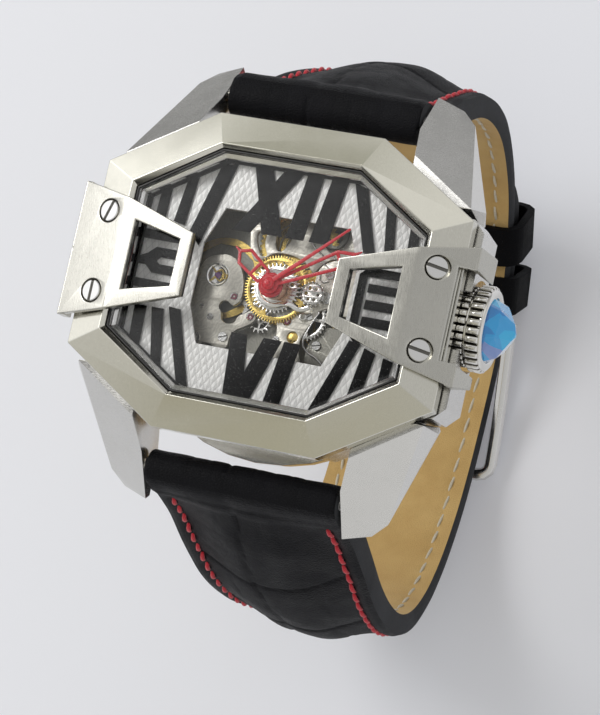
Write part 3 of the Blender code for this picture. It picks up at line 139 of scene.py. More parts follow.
class Surface(Graph):
    """A Principled material whose nodes work in millimetres on the object's own coordinates."""

    def __init__(self, name, colour, roughness, metallic=0.0, **sockets):
        self.material = bpy.data.materials.new(name)
        super().__init__(self.material)
        self.shader = self.tree.nodes["Principled BSDF"]
        self.set("Base Color", (*colour, 1.0))
        self.set("Roughness", roughness)
        self.set("Metallic", metallic)
        for socket, value in sockets.items():
            self.set(socket.replace("_", " "), value)
        self.place = self.node("ShaderNodeTexCoord").outputs["Object"]

    def set(self, socket, value):
        self.shader.inputs[socket].default_value = value

    def feed(self, socket, output):
        self.tree.links.new(output, self.shader.inputs[socket])

    def tones(self, share, colour, dark):
        """Base colour between a darker tone and the full one."""
        self.feed("Base Color", self.mix(share, darker(colour, dark), colour))

    def roughen(self, first, second):
        """Roughness as the sum of two values, each given with its low and high ends."""
        self.feed("Roughness", self.math("ADD", self.spread(*first), self.spread(*second)))

    def cloud(self, size=1.0, **settings):
        """Slow change from 0 to 1; a larger size is a finer cloud."""
        return self.spread(self.noise((size,) * 3, **settings), 0.0, 1.0)

    def coords(self, scale=(1, 1, 1), turn=(0, 0, 0)):
        """Object coordinates in millimetres, turned and then stretched."""
        turned = self.node("ShaderNodeMapping", {"Vector": self.place},
                           {"Rotation": [radians(a) for a in turn],
                            "Scale": (1 / MM, 1 / MM, 1 / MM)})
        return self.node("ShaderNodeMapping", {"Vector": turned.outputs[0]},
                         {"Scale": scale}).outputs[0]

    def noise(self, scale=(1, 1, 1), turn=(0, 0, 0), detail=3.0, rough=0.55):
        return self.node("ShaderNodeTexNoise", {"Vector": self.coords(scale, turn)},
                         {"Scale": 1.0, "Detail": detail, "Roughness": rough}).outputs["Fac"]

    def cells(self, scale, feature="F1", turn=(0, 0, 0)):
        return self.node("ShaderNodeTexVoronoi", {"Vector": self.coords(scale, turn)},
                         {"Scale": 1.0}, feature=feature).outputs["Distance"]

    def bump(self, *heights):
        """Bump from (value, height in mm) pairs, one after the other."""
        normal = None
        for value, height in heights:
            made = self.node("ShaderNodeBump", {"Height": value},
                             {"Strength": 1.0, "Distance": height * MM})
            if normal:
                self.tree.links.new(normal, made.inputs["Normal"])
            normal = made.outputs["Normal"]
        self.feed("Normal", normal)


def darker(colour, share):
    return tuple(c * share for c in colour)


def brushed(name, colour, grain, roughness=0.3, depth=0.004, turn=(0, 0, 0)):
    """Metal with fine parallel brush marks; grain is how stretched the noise is on each axis."""
    made = Surface(name, colour, roughness, 1.0)
    marks = made.noise(grain, turn, 4.0, 0.7)
    cloud = made.noise((0.25, 0.25, 0.25), detail=2.0)
    made.roughen((marks, -0.08, 0.08), (cloud, roughness - 0.04, roughness + 0.05))
    made.tones(made.spread(marks, 0.0, 1.0, 0.25, 0.75), colour, 0.84)
    made.bump((marks, depth))
    return made.material


def polished(name, colour, roughness=0.09, wear=0.0015):
    """Bright metal with hairline scratches and faint smears."""
    made = Surface(name, colour, roughness, 1.0)
    smear = made.noise((0.5, 0.5, 0.5), detail=3.0)
    hairs = made.noise((14, 0.6, 3), (0, 0, 35), 5.0, 0.7)
    made.roughen((smear, roughness - 0.03, roughness + 0.04), (hairs, 0.0, 0.05, 0.55, 0.8))
    made.bump((hairs, wear))
    return made.material


def striped(name, colour, pitch=0.55, turn=38, roughness=0.3):
    """Movement plate: slanted polishing stripes under fine grain, with small specks."""
    made = Surface(name, colour, roughness, 1.0)
    across = made.node("ShaderNodeSeparateXYZ", {"Vector": made.coords(turn=(0, 0, turn))})
    warp = made.spread(made.noise((0.7, 0.7, 0.7)), -0.6, 0.6)
    wave = made.math("SINE", made.math("MULTIPLY", made.math("ADD", across.outputs[0], warp),
                                       2 * pi / pitch))
    grain = made.noise((22, 1.2, 22), (0, 0, turn), 4.0, 0.65)
    specks = made.spread(made.noise((9, 9, 9), detail=2.0), 0.0, 1.0, 0.60, 0.72)
    shade = made.mix(made.cloud(0.35), darker(colour, 0.86), colour)
    shade = made.mix(made.math("MULTIPLY", specks, 0.35), shade, (0.30, 0.29, 0.27))
    hatch = made.math("MULTIPLY", made.spread(wave, 0.0, 0.5, -1, 1), made.spread(grain, 0.4, 1.0))
    made.feed("Base Color", made.mix(hatch, shade, darker(colour, 0.5)))
    made.roughen((grain, -0.03, 0.03), (wave, roughness - 0.05, roughness + 0.05, -1, 1))
    made.bump((wave, 0.0006))
    return made.material


def gilt(name, colour, roughness=0.24):
    """Golden metal with a fine grain and slow stains."""
    made = Surface(name, colour, roughness, 1.0)
    grain = made.noise((18, 18, 18), detail=4.0)
    made.tones(made.cloud(0.8), colour, 0.78)
    made.feed("Roughness", made.spread(grain, roughness - 0.06, roughness + 0.08))
    made.bump((grain, 0.004))
    return made.material


def lozenge_dial():
    """Silver dial with a raised diamond pattern, and painted shade in the grooves between the
    diamonds.
    """
    made = Surface("dial_silver", (0.95, 0.95, 0.935), 0.42, 0.3)
    width, height = 0.92, 1.75
    apart = made.node("ShaderNodeSeparateXYZ", {"Vector": made.coords(turn=(0, 0, 6))})
    x, y = apart.outputs[0], apart.outputs[1]
    ridges = []
    for sign in (1, -1):
        slanted = made.math("ADD", made.math("DIVIDE", x, width),
                            made.math("DIVIDE", y, sign * height))
        ridges.append(made.math("ABSOLUTE", made.math("SUBTRACT",
                                                      made.math("FRACT", slanted), 0.5)))
    crown = made.math("SUBTRACT", 0.5, made.math("MAXIMUM", *ridges))
    groove = made.spread(crown, 0.0, 1.0, 0.0, 0.09)
    lines = made.noise((3, 30, 3), detail=4.0, rough=0.7)
    cross = made.noise((30, 3, 3), detail=4.0, rough=0.7)
    pick = made.math("GREATER_THAN", ridges[0], ridges[1])
    marks = made.math("ADD", made.math("MULTIPLY", lines, pick),
                      made.math("MULTIPLY", cross, made.math("SUBTRACT", 1.0, pick)))
    pale = made.mix(made.spread(marks, 0.0, 1.0), (0.84, 0.84, 0.83), (0.97, 0.97, 0.96))
    # painted shade: the grooves between the diamonds are coloured a darker grey
    made.feed("Base Color", made.mix(groove, (0.66, 0.66, 0.65), pale))
    made.feed("Roughness", made.spread(marks, 0.30, 0.48))
    made.bump((crown, 0.05), (marks, 0.004))
    return made.material


def lacquer(name, colour, roughness=0.25, dust=0.0, coat=0.4):
    """Paint with a thin clear coat, cloudy gloss and, if asked, specks of dust."""
    made = Surface(name, colour, roughness, 0.0, Coat_Weight=coat, Coat_Roughness=0.12,
                   Specular_IOR_Level=0.5 if coat else 0.15)
    cloud = made.noise((1.5, 1.5, 1.5))
    made.feed("Roughness", made.spread(cloud, roughness - 0.05, roughness + 0.08))
    base = made.mix(made.spread(cloud, 0.0, 1.0), darker(colour, 0.82), colour)
    if dust:
        specks = made.spread(made.noise((7, 7, 7), detail=1.0), 0.0, dust, 0.70, 0.74)
        base = made.mix(specks, base, (0.6, 0.6, 0.6))
    made.feed("Base Color", base)
    made.bump((made.noise((3, 3, 3)), 0.0006))
    return made.material


def clear_glass(name, strength):
    """Thin clear pane: a mirror whose cover follows the angle, and nothing where seen square on."""
    made = Surface(name, (1.0, 1.0, 1.0), 0.03, 1.0)
    facing = made.node("ShaderNodeFresnel", values={"IOR": 1.5}).outputs[0]
    smear = made.spread(made.noise((0.15, 0.15, 0.15)), 0.85, 1.15)
    made.feed("Alpha", made.math("MULTIPLY", made.math("MULTIPLY", facing, strength), smear))
    return made.material


def stone_glass():
    """Blue cut glass: saturated body, painted reflections as paler patches and violet glints,
    painted shade as darker patches, a faint painted glow and a wet coat.
    """
    made = Surface("blue_cut_glass", (0.0, 0.27, 0.76), 0.08, 0.0, Coat_Weight=1.0,
                   Coat_Roughness=0.02, Transmission_Weight=0.25, IOR=1.6)
    # painted reflections and shade: the cells give the facets paler, darker and violet patches
    patch = made.node("ShaderNodeTexVoronoi", {"Vector": made.coords((0.55, 0.42, 0.30))},
                      {"Scale": 1.0, "Randomness": 0.9})
    ramp = made.node("ShaderNodeValToRGB", {"Fac": patch.outputs["Color"]})
    ramp.color_ramp.interpolation = "CONSTANT"
    stops = ((0.0, (0.0, 0.22, 0.58)), (0.30, (0.0, 0.34, 0.72)), (0.50, (0.0, 0.45, 0.80)),
             (0.68, (0.0, 0.13, 0.45)), (0.86, (0.20, 0.28, 0.58)))
    for position, colour in stops[2:]:
        ramp.color_ramp.elements.new(position).color = (*colour, 1.0)
    for element, (position, colour) in zip(ramp.color_ramp.elements, stops):
        element.position = position
        element.color = (*colour, 1.0)
    made.feed("Base Color", ramp.outputs["Color"])
    # painted glow: the stone emits its patch colours faintly, though it is no lamp
    made.feed("Emission Color", ramp.outputs["Color"])
    made.set("Emission Strength", 0.12)
    return made.material


def jewel(name, colour):
    """Wet-looking stone with a dark cloud in it."""
    made = Surface(name, colour, 0.08, 0.0, Coat_Weight=1.0, Coat_Roughness=0.03)
    made.tones(made.cloud(4), colour, 0.5)
    return made.material


def leather(name, colour, pale, roughness=0.5, grain=2.6, depth=0.05, gloss=0.10, **sockets):
    """Leather with a pebbled grain, fine pores and slow colour changes."""
    made = Surface(name, colour, roughness, 0.0, Specular_IOR_Level=gloss, **sockets)
    cells = made.cells((grain, grain, grain), "DISTANCE_TO_EDGE")
    pebble = made.spread(cells, 0.0, 1.0, 0.0, 0.22)
    pores = made.noise((grain * 5, grain * 5, grain * 5), detail=5.0, rough=0.7)
    cloud = made.cloud(0.16, detail=4.0)
    made.feed("Base Color", made.mix(cloud, colour, pale))
    made.roughen((pores, -0.07, 0.07), (cloud, roughness - 0.06, roughness + 0.06))
    made.bump((pebble, depth), (pores, depth * 0.45))
    return made.material


def thread(name, colour):
    """Fuzzy thread with darker strands."""
    made = Surface(name, colour, 0.65, 0.0, Sheen_Weight=0.4, Sheen_Roughness=0.4)
    strands = made.noise((9, 9, 9), detail=4.0, rough=0.8)
    made.tones(made.spread(strands, 0.0, 1.0), colour, 0.55)
    made.bump((strands, 0.06))
    return made.material


MATERIALS = {
    "case_steel": brushed("case_steel", (0.80, 0.79, 0.765), (2.0, 10, 30), 0.24, 0.002),
    "bezel_steel": brushed("bezel_steel", (0.80, 0.782, 0.70), (1.2, 16, 16), 0.16, 0.0016,
                           (0, 0, 62)),
    "bracket_steel": brushed("bracket_steel", (0.60, 0.588, 0.54), (22, 0.9, 22), 0.27, 0.0009,
                             (0, 0, -7)),
    "crown_steel": polished("crown_steel", (0.80, 0.785, 0.75), 0.08, 0.0004),
    "polished_steel": polished("polished_steel", (0.84, 0.835, 0.825)),
    "buckle_steel": brushed("buckle_steel", (0.78, 0.77, 0.75), (3, 24, 24), 0.2, 0.003),
    "screw_steel": brushed("screw_steel", (0.80, 0.80, 0.79), (30, 3, 30), 0.2, 0.003,
                           (0, 0, 20)),
    "groove_shade": brushed("groove_shade", (0.13, 0.12, 0.10), (6, 20, 20), 0.35, 0.001),
    "slot_shade": brushed("slot_shade", (0.20, 0.195, 0.18), (6, 6, 6), 0.5, 0.001),
    "movement_steel": striped("movement_steel", (0.78, 0.755, 0.68), 0.6, 38, 0.4),
    "wheel_steel": brushed("wheel_steel", (0.80, 0.79, 0.76), (16, 16, 16), 0.2, 0.003),
    "dark_steel": striped("dark_steel", (0.33, 0.325, 0.29), 0.4, -30, 0.4),
    "gilt_brass": gilt("gilt_brass", (0.90, 0.66, 0.20)),
    "copper": gilt("copper", (0.80, 0.45, 0.27)),
    "hairspring_blue": polished("hairspring_blue", (0.30, 0.33, 0.42), 0.2),
    "dial_silver": lozenge_dial(),
    "numeral_black": lacquer("numeral_black", (0.006, 0.006, 0.007), 0.2, 0.4, 0.0),
    "hand_red": lacquer("hand_red", (0.93, 0.006, 0.028), 0.24),
    "sapphire": clear_glass("sapphire", 0.75),
    "blue_cut_glass": stone_glass(),
    "jewel_violet": jewel("jewel_violet", (0.32, 0.12, 0.42)),
    "jewel_rose": jewel("jewel_rose", (0.42, 0.10, 0.16)),
    "rubber": lacquer("rubber", (0.02, 0.02, 0.02), 0.6),
    "black_leather": leather("black_leather", (0.004, 0.004, 0.005), (0.008, 0.008, 0.010), 0.55),
    # painted shade: the keepers get a darker, less glossy copy of the strap leather
    "keeper_leather": leather("keeper_leather", (0.003, 0.003, 0.0035), (0.005, 0.005, 0.006),
                              0.6, 2.6, 0.03, 0.04),
    "cut_edge": leather("cut_edge", (0.018, 0.019, 0.021), (0.055, 0.056, 0.060), 0.7, 5.0, 0.04),
    "lining": leather("lining", (0.48, 0.31, 0.115), (0.58, 0.40, 0.165), 0.6, 3.2, 0.03,
                      Sheen_Weight=0.15),
    "red_thread": thread("red_thread", (0.74, 0.010, 0.030)),
    "cream_thread": thread("cream_thread", (0.72, 0.66, 0.52)),
}

# ---------------------------------------------------------------- mesh helpers


def linked(thing):
    bpy.context.scene.collection.objects.link(thing)
    return thing


def add_piece(name, mesh, finish, stands_for=None, sharp=None, body="case"):
    """A finished mesh as a piece that rides on the body of the CAD node it stands for, or on the
    body given; sharp is the angle of its hard edges."""
    if stands_for:
        body = body_of(NODES[stands_for])[0]
    while mesh.materials:
        mesh.materials.pop()
    for each in [finish] if isinstance(finish, str) else finish:
        mesh.materials.append(MATERIALS[each])
    if sharp:
        mesh.shade_smooth()
        mesh.set_sharp_from_angle(angle=radians(sharp))
        mesh = with_modifiers(mesh, EVEN_FLATS)
    piece = linked(bpy.data.objects.new(name, mesh))
    bpy.context.view_layer.update()
    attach(piece, body)
    if stands_for:
        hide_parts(stands_for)
    return piece


def mesh_of(build):
    """Mesh from a function that fills a bmesh in millimetres."""
    shape = bmesh.new()
    build(shape)
    bmesh.ops.scale(shape, vec=(MM, MM, MM), verts=shape.verts)
    bmesh.ops.recalc_face_normals(shape, faces=shape.faces)
    mesh = bpy.data.meshes.new("shape")
    shape.to_mesh(mesh)
    shape.free()
    return mesh


def skin(shape, loops, caps=True, ring=False, slot=None, cap_slot=0):
    """Faces over loops of points with equal counts: caps close both ends, or ring joins the last
    loop to the first; slot gives the material slot of the face that follows point i."""
    rows = [[shape.verts.new(point) for point in loop] for loop in loops]
    for a, b in zip(rows, rows[1:] + rows[:ring]):
        for i in range(len(a)):
            j = (i + 1) % len(a)
            face = shape.faces.new((a[i], a[j], b[j], b[i]))
            face.material_index = slot(i) if slot else 0
    for row in (rows[0], rows[-1]) if caps else ():
        shape.faces.new(row).material_index = cap_slot


def lofted(loops, **settings):
    return mesh_of(lambda shape: skin(shape, loops, **settings))


def hull_mesh(points, flat=0):
    """Convex hull of points; neighbouring faces within an angle of each other become one."""

    def build(shape):
        verts = [shape.verts.new(point) for point in points]
        found = bmesh.ops.convex_hull(shape, input=verts)
        bmesh.ops.delete(shape, geom=list(set(found["geom_interior"])), context="VERTS")
        if flat:
            bmesh.ops.dissolve_limit(shape, angle_limit=radians(flat), verts=shape.verts,
                                     edges=shape.edges)

    return mesh_of(build)


EVEN_FLATS = "WEIGHTED_NORMAL", {"keep_sharp": True, "mode": "FACE_AREA", "weight": 80}


def with_modifiers(mesh, *steps):
    """The mesh after modifiers, each given as (kind, settings)."""
    mesh.shade_smooth()
    holder = linked(bpy.data.objects.new("holder", mesh))
    for kind, settings in steps:
        modifier = holder.modifiers.new(kind, kind)
        for key, value in settings.items():
            setattr(modifier, key, value)
    bpy.context.view_layer.update()
    return shown_mesh(holder)


def shown_mesh(holder):
    """Mesh that a helper object shows; the helper is then removed."""
    shown = holder.evaluated_get(bpy.context.evaluated_depsgraph_get())
    made = bpy.data.meshes.new_from_object(shown)
    bpy.data.objects.remove(holder)
    return made


def bevel_step(width, segments=2, angle=25):
    return "BEVEL", {"width": width * MM, "segments": segments, "limit_method": "ANGLE",
                     "angle_limit": radians(angle), "use_clamp_overlap": True,
                     "harden_normals": True, "miter_outer": "MITER_ARC"}


def refined(node, finish, width=0.12, segments=2, sharp=30, flat=1.0):
    """A CAD node again with its flat faces made whole and its edges rounded."""

    def clean(shape):
        bmesh.ops.remove_doubles(shape, verts=shape.verts, dist=2e-6)
        bmesh.ops.dissolve_limit(shape, angle_limit=radians(flat), verts=shape.verts,
                                 edges=shape.edges)

    made = with_modifiers(edited(NODES[node].data, clean), bevel_step(width, segments, sharp),
                          EVEN_FLATS)
    add_piece(node + "_fine", made, finish, node)


def plate_mesh(outlines, low, high, edge=0.04):
    """Flat plate with rounded edges from closed outlines, the first outside and the rest holes."""
    curve = bpy.data.curves.new("plate", "CURVE")
    curve.dimensions = "2D"
    curve.fill_mode = "BOTH"
    curve.bevel_depth = edge * MM
    curve.bevel_resolution = 1
    curve.offset = -edge * MM
    curve.extrude = ((high - low) / 2 - edge) * MM
    for outline in outlines:
        spline = curve.splines.new("POLY")
        spline.points.add(len(outline) - 1)
        for point, (x, y) in zip(spline.points, outline):
            point.co = (x * MM, y * MM, 0, 1)
        spline.use_cyclic_u = True
    mesh = shown_mesh(linked(bpy.data.objects.new("plate", curve)))
    mesh.transform(Matrix.Translation((0, 0, (low + high) / 2 * MM)))

    def weld(shape):
        bmesh.ops.remove_doubles(shape, verts=shape.verts, dist=1e-7)
        bmesh.ops.recalc_face_normals(shape, faces=shape.faces)

    return edited(mesh, weld)


def edited(source, change):
    """New mesh: the source after a function has changed it as a bmesh."""
    shape = bmesh.new()
    shape.from_mesh(source)
    change(shape)
    mesh = bpy.data.meshes.new("edited")
    shape.to_mesh(mesh)
    shape.free()
    return mesh


def turned_mesh(profile, steps=48, along=(0, 0, 1)):
    """Turned solid from (radius, height) points that run from the axis, or round a closed loop."""
    closed = profile[0][0] > 0
    points = list(profile) + ([profile[0]] if closed else [])

    def build(shape):
        rings = []
        for r, z in points[:-1] if closed else points:
            if r == 0:
                rings.append([shape.verts.new((0, 0, z))])
            else:
                rings.append([shape.verts.new((*place, z)) for place in circle(r, steps)])
        pairs = list(zip(rings, rings[1:])) + ([(rings[-1], rings[0])] if closed else [])
        for a, b in pairs:
            for k in range(steps):
                j = (k + 1) % steps
                if len(a) == 1:
                    shape.faces.new((a[0], b[k], b[j]))
                elif len(b) == 1:
                    shape.faces.new((a[k], b[0], a[j]))
                else:
                    shape.faces.new((a[k], b[k], b[j], a[j]))

    mesh = mesh_of(build)
    mesh.transform(Vector((0, 0, 1)).rotation_difference(Vector(along)).to_matrix().to_4x4())
    return mesh


def moved(mesh, by):
    mesh.transform(Matrix.Translation(Vector(by) * MM))
    return mesh


def turned(mesh, angle, axis="Z"):
    mesh.transform(Matrix.Rotation(radians(angle), 4, axis))
    return mesh


def joined(*meshes):
    """One mesh from several."""
    shape = bmesh.new()
    for mesh in meshes:
        shape.from_mesh(mesh)
    made = bpy.data.meshes.new("joined")
    shape.to_mesh(made)
    shape.free()
    return made


def octagon(half_x, half_y, flat_x, flat_y):
    """Eight corners, anticlockwise from the upper right of the right side."""
    quarter = [(half_x, flat_y), (flat_x, half_y)]
    upper = quarter + [(-x, y) for x, y in reversed(quarter)]
    return upper + [(-x, -y) for x, y in upper]


def octagon_loops(sections):
    """Octagons one after the other, each as (half_x, half_y, flat_x, flat_y, height)."""
    return [[(x, y, height) for x, y in octagon(*sides)] for *sides, height in sections]


def polar(radius, angle, centre=(0, 0)):
    """Point at a radius and an angle in radians."""
    return centre[0] + radius * cos(angle), centre[1] + radius * sin(angle)


def circle(radius, points, centre=(0, 0)):
    return [polar(radius, 2 * pi * i / points, centre) for i in range(points)]


def holes_round(radius, angles, size, points):
    """Round holes with their centres on a circle, angles in degrees."""
    return [circle(size, points, polar(radius, radians(a))) for a in angles]


def smooth_steps(knots, steps):
    """Points between the second knot and the last but one, on a smooth curve through all."""
    return [0.5 * (2 * b + (c - a) * t + (2 * a - 5 * b + 4 * c - d) * t * t
                   + (3 * b - a - 3 * c + d) * t ** 3)
            for a, b, c, d in zip(knots, knots[1:], knots[2:], knots[3:])
            for t in (k / steps for k in range(steps))]


def smooth_line(points, steps=8):
    """Smooth curve from the first point to the last."""
    knots = [Vector(p) for p in points]
    ends = [knots[0] * 2 - knots[1]], [knots[-1] * 2 - knots[-2]]
    return smooth_steps(ends[0] + knots + ends[1], steps) + [knots[-1]]


# ---------------------------------------------------------------- case, bezel and crystal

BEZEL_OUTER = (24.0, 20.05, 10.8, 11.8)
BEZEL_RIDGE = (19.6, 15.95, 9.15, 9.45)
BEZEL_LIP = (19.12, 15.46, 9.06, 8.97)
BEZEL_SEAT = (18.9, 15.25, 9.0, 8.85)


def bezel():
    """Octagonal ring with sloping facets, down the outer side and up the inner one."""
    foot, edge = 10.9, 12.8
    sections = [(*BEZEL_OUTER, edge), (*BEZEL_OUTER, foot), (*BEZEL_SEAT, foot),
                (*BEZEL_SEAT, 12.35), (19.1, 15.45, 9.05, 8.95, 12.45), (*BEZEL_LIP, 13.9),
                (*BEZEL_RIDGE, 14.5)]
    band = lofted(octagon_loops(sections), caps=False, ring=True)
    mesh = with_modifiers(band, bevel_step(0.13, 3, 12))
    add_piece("bezel_fine", mesh, "bezel_steel", stands_for="bezel")


def crystal():
    """Flat sapphire with a bevelled edge, its gasket, and the polished ring under it."""
    low, high = 13.15, 14.15
    side, top = (18.75, 15.1, 8.95, 8.75), (18.1, 14.45, 8.8, 8.5)
    loops = octagon_loops([(*side, low), (*side, high - 0.5), (*top, high)])
    mesh = with_modifiers(lofted(loops), bevel_step(0.05, 2, 10))
    add_piece("crystal_fine", mesh, "sapphire", stands_for="crystal")
    refined("crystal_gasket", "rubber", width=0.04, segments=1)
    refined("inner_flange", "polished_steel", width=0.1, segments=3, sharp=20)


def case():
    """Case middle, case back with its glass, and the gasket between them."""
    refined("case_middle", "case_steel", width=0.16, segments=3, sharp=20)
    refined("case_back", "polished_steel", width=0.1, segments=2)
    refined("case_back_crystal", "sapphire", width=0.08)
    refined("case_back_gasket", "rubber", width=0.05, segments=1)


BRACKET_SLOPES = ((9.49, 16.45), (18.7, 16.12), (19.0, 16.07), (19.3, 15.99), (25.8, 13.75))
BRACKET_FOLDS = (18.7, 19.0, 19.3)
BRACKET_SCREW = (21.48, 5.11)
BRACKET_TILT = 19.0          # fall of the outer leaf in degrees


def fall(points, x):
    """Height at x on a line through (x, height) points."""
    for (ax, az), (bx, bz) in zip(points, points[1:]):
        if x <= bx:
            break
    return az + (bz - az) * (x - ax) / (bx - ax)


def folded_plate(side, outline, holes, thickness):
    """Sheet with bright rounded edges that follows the slopes of a bracket."""
    loops = [[(side * x, y) for x, y in loop] for loop in (outline, *holes)]

    def fold(shape):
        for x in BRACKET_FOLDS:
            everything = list(shape.verts) + list(shape.edges) + list(shape.faces)
            bmesh.ops.bisect_plane(shape, geom=everything, dist=1e-7,
                                   plane_co=(side * x * MM, 0, 0), plane_no=(1, 0, 0))
        for vert in shape.verts:
            vert.co.z += fall(BRACKET_SLOPES, abs(vert.co.x) / MM) * MM

    return edited(plate_mesh(loops, -thickness, 0, 0.14), fold)


def bracket_skirt(side, end, inner, tip_inner):
    """Corner of a bracket that turns down beside the bezel; the crown side runs out to a wing."""
    top = [(24.9, 8.55, 13.9), (25.95, 8.6, 13.7), (25.95, inner, 13.7), (24.9, inner, 13.9)]
    if side > 0:
        foot = [(24.9, 8.4, 9.6), (27.1, 8.1, 10.4), (27.1, tip_inner, 10.4), (24.9, inner, 9.6)]
        low = [(x, y, 9.5) for x, y, z in foot]
        corners = top + foot[1:3] + low
    else:
        corners = top + [(x, y, 11.3) for x, y, z in top]
    hull = hull_mesh([(side * x, end * y, z) for x, y, z in corners], 2)
    return with_modifiers(hull, bevel_step(0.14, 3, 12))


def bracket_mesh(side):
    """Folded leaf with its window and screw seats, and the skirt round the bezel."""
    reach, half = 25.8, 8.6
    outline = [(9.49, -4.0), (19.0, -7.14), (reach, -half)]
    if side > 0:
        outline += [(reach, -5.75), (23.75, -5.75), (23.75, 5.75), (reach, 5.75)]
    outline += [(reach, half), (19.0, 7.14), (9.49, 4.0)]
    holes = [[(11.07, 2.97), (17.4, 4.41), (17.4, -4.41), (11.07, -2.97)]]
    x, y = BRACKET_SCREW
    holes += [circle(1.52, 28, (x, end * y)) for end in (1, -1)]
    pieces = [folded_plate(side, outline, holes, 0.9)]
    if side > 0:
        pieces += [bracket_skirt(1, 1, 6.0, 4.9), bracket_skirt(1, -1, 6.0, 6.6)]
        for x, z in ((23.55, 13.55), (23.95, 12.9)):
            pieces.append(rail_mesh((x, -5.7, z), (x, 5.7, z), 0.22))
    else:
        pieces += [bracket_skirt(-1, 1, 0, 0), bracket_skirt(-1, -1, 0, 0)]
    return joined(*pieces)


def rail_mesh(start, end, radius, sides=10):
    """Round rail between two points."""
    start, end = Vector(start), Vector(end)
    profile = [(0, 0), (radius * 0.8, 0), (radius, radius * 0.3),
               (radius, (end - start).length - radius * 0.3),
               (radius * 0.8, (end - start).length), (0, (end - start).length)]
    return moved(turned_mesh(profile, sides, end - start), start)


def bracket_pad_mesh(side):
    """Rubber frame between a bracket and the crystal."""
    outline = [(9.75, 3.75), (18.3, 6.7), (18.3, -6.7), (9.75, -3.75)]
    inside = [(10.95, 3.1), (17.6, 4.55), (17.6, -4.55), (10.95, -3.1)]
    loops = [[(side * x, y) for x, y in loop] for loop in (outline, inside)]
    return plate_mesh(loops, 14.25, 15.1, 0.1)


def side_brackets():
    """Both brackets, the rubber under their windows and their four slotted screws."""
    for name, side in (("right", 1), ("left", -1)):
        add_piece("bracket_fine_" + name, bracket_mesh(side), "bracket_steel",
                  "bracket_" + name, 32)
        add_piece("bracket_cushion_" + name, bracket_pad_mesh(side), "rubber",
                  "bracket_pad_" + name, 40)
    x, y = BRACKET_SCREW
    for name, side, angles in (("right", 1, (-8, -8)), ("left", -1, (70, 90))):
        for where, end, slot_angle in zip(("upper", "lower"), (1, -1), angles):
            node = f"bracket_screw_{name}_{where}"
            screw_head(node + "_fine", (side * x, end * y), 1.34, (14.2, 15.33), slot_angle,
                       node, 0.44, 0.5, "polished_steel", tilt=side * BRACKET_TILT)


def screw_head(name, centre, radius, levels, slot_angle, stands_for=(), slot=None, depth=None,
               finish="screw_steel", steps=40, tilt=0.0):
    """Slotted screw: the head is cut by its slot, and its rim is bevelled."""
    slot = slot or radius * 0.26
    depth = depth or radius * 0.35
    low, high = levels
    half = slot / 2
    lift = radius * 0.08

    start = atan2(half, sqrt(radius ** 2 - half ** 2))
    sweep = [start + (pi - 2 * start) * k / (steps // 2) for k in range(steps // 2 + 1)]

    def build(shape):
        for side in (1, -1):
            rim = [polar(radius, side * a) for a in sweep]
            top = [(x * 0.93, y * 0.93 + side * half * 0.07, high) for x, y in rim]
            skin(shape, [top, [(x, y, high - lift) for x, y in rim],
                         [(x, y, high - depth) for x, y in rim]])

    halves = mesh_of(build)
    base = turned_mesh([(0, high - depth + 0.001), (radius, high - depth + 0.001), (radius, low),
                        (0, low)], steps)
    for face in base.polygons:
        face.material_index = 1
    mesh = turned(moved(turned(joined(halves, base), slot_angle), (0, 0, -high)), tilt, "Y")
    add_piece(name, moved(mesh, (*centre, high)), [finish, "slot_shade"], stands_for, 25)


# ---------------------------------------------------------------- dial and hands

DIAL = (18.4, 14.7, 8.9, 8.6)
WINDOW = (10.1, 8.65, 8.25, 4.0)


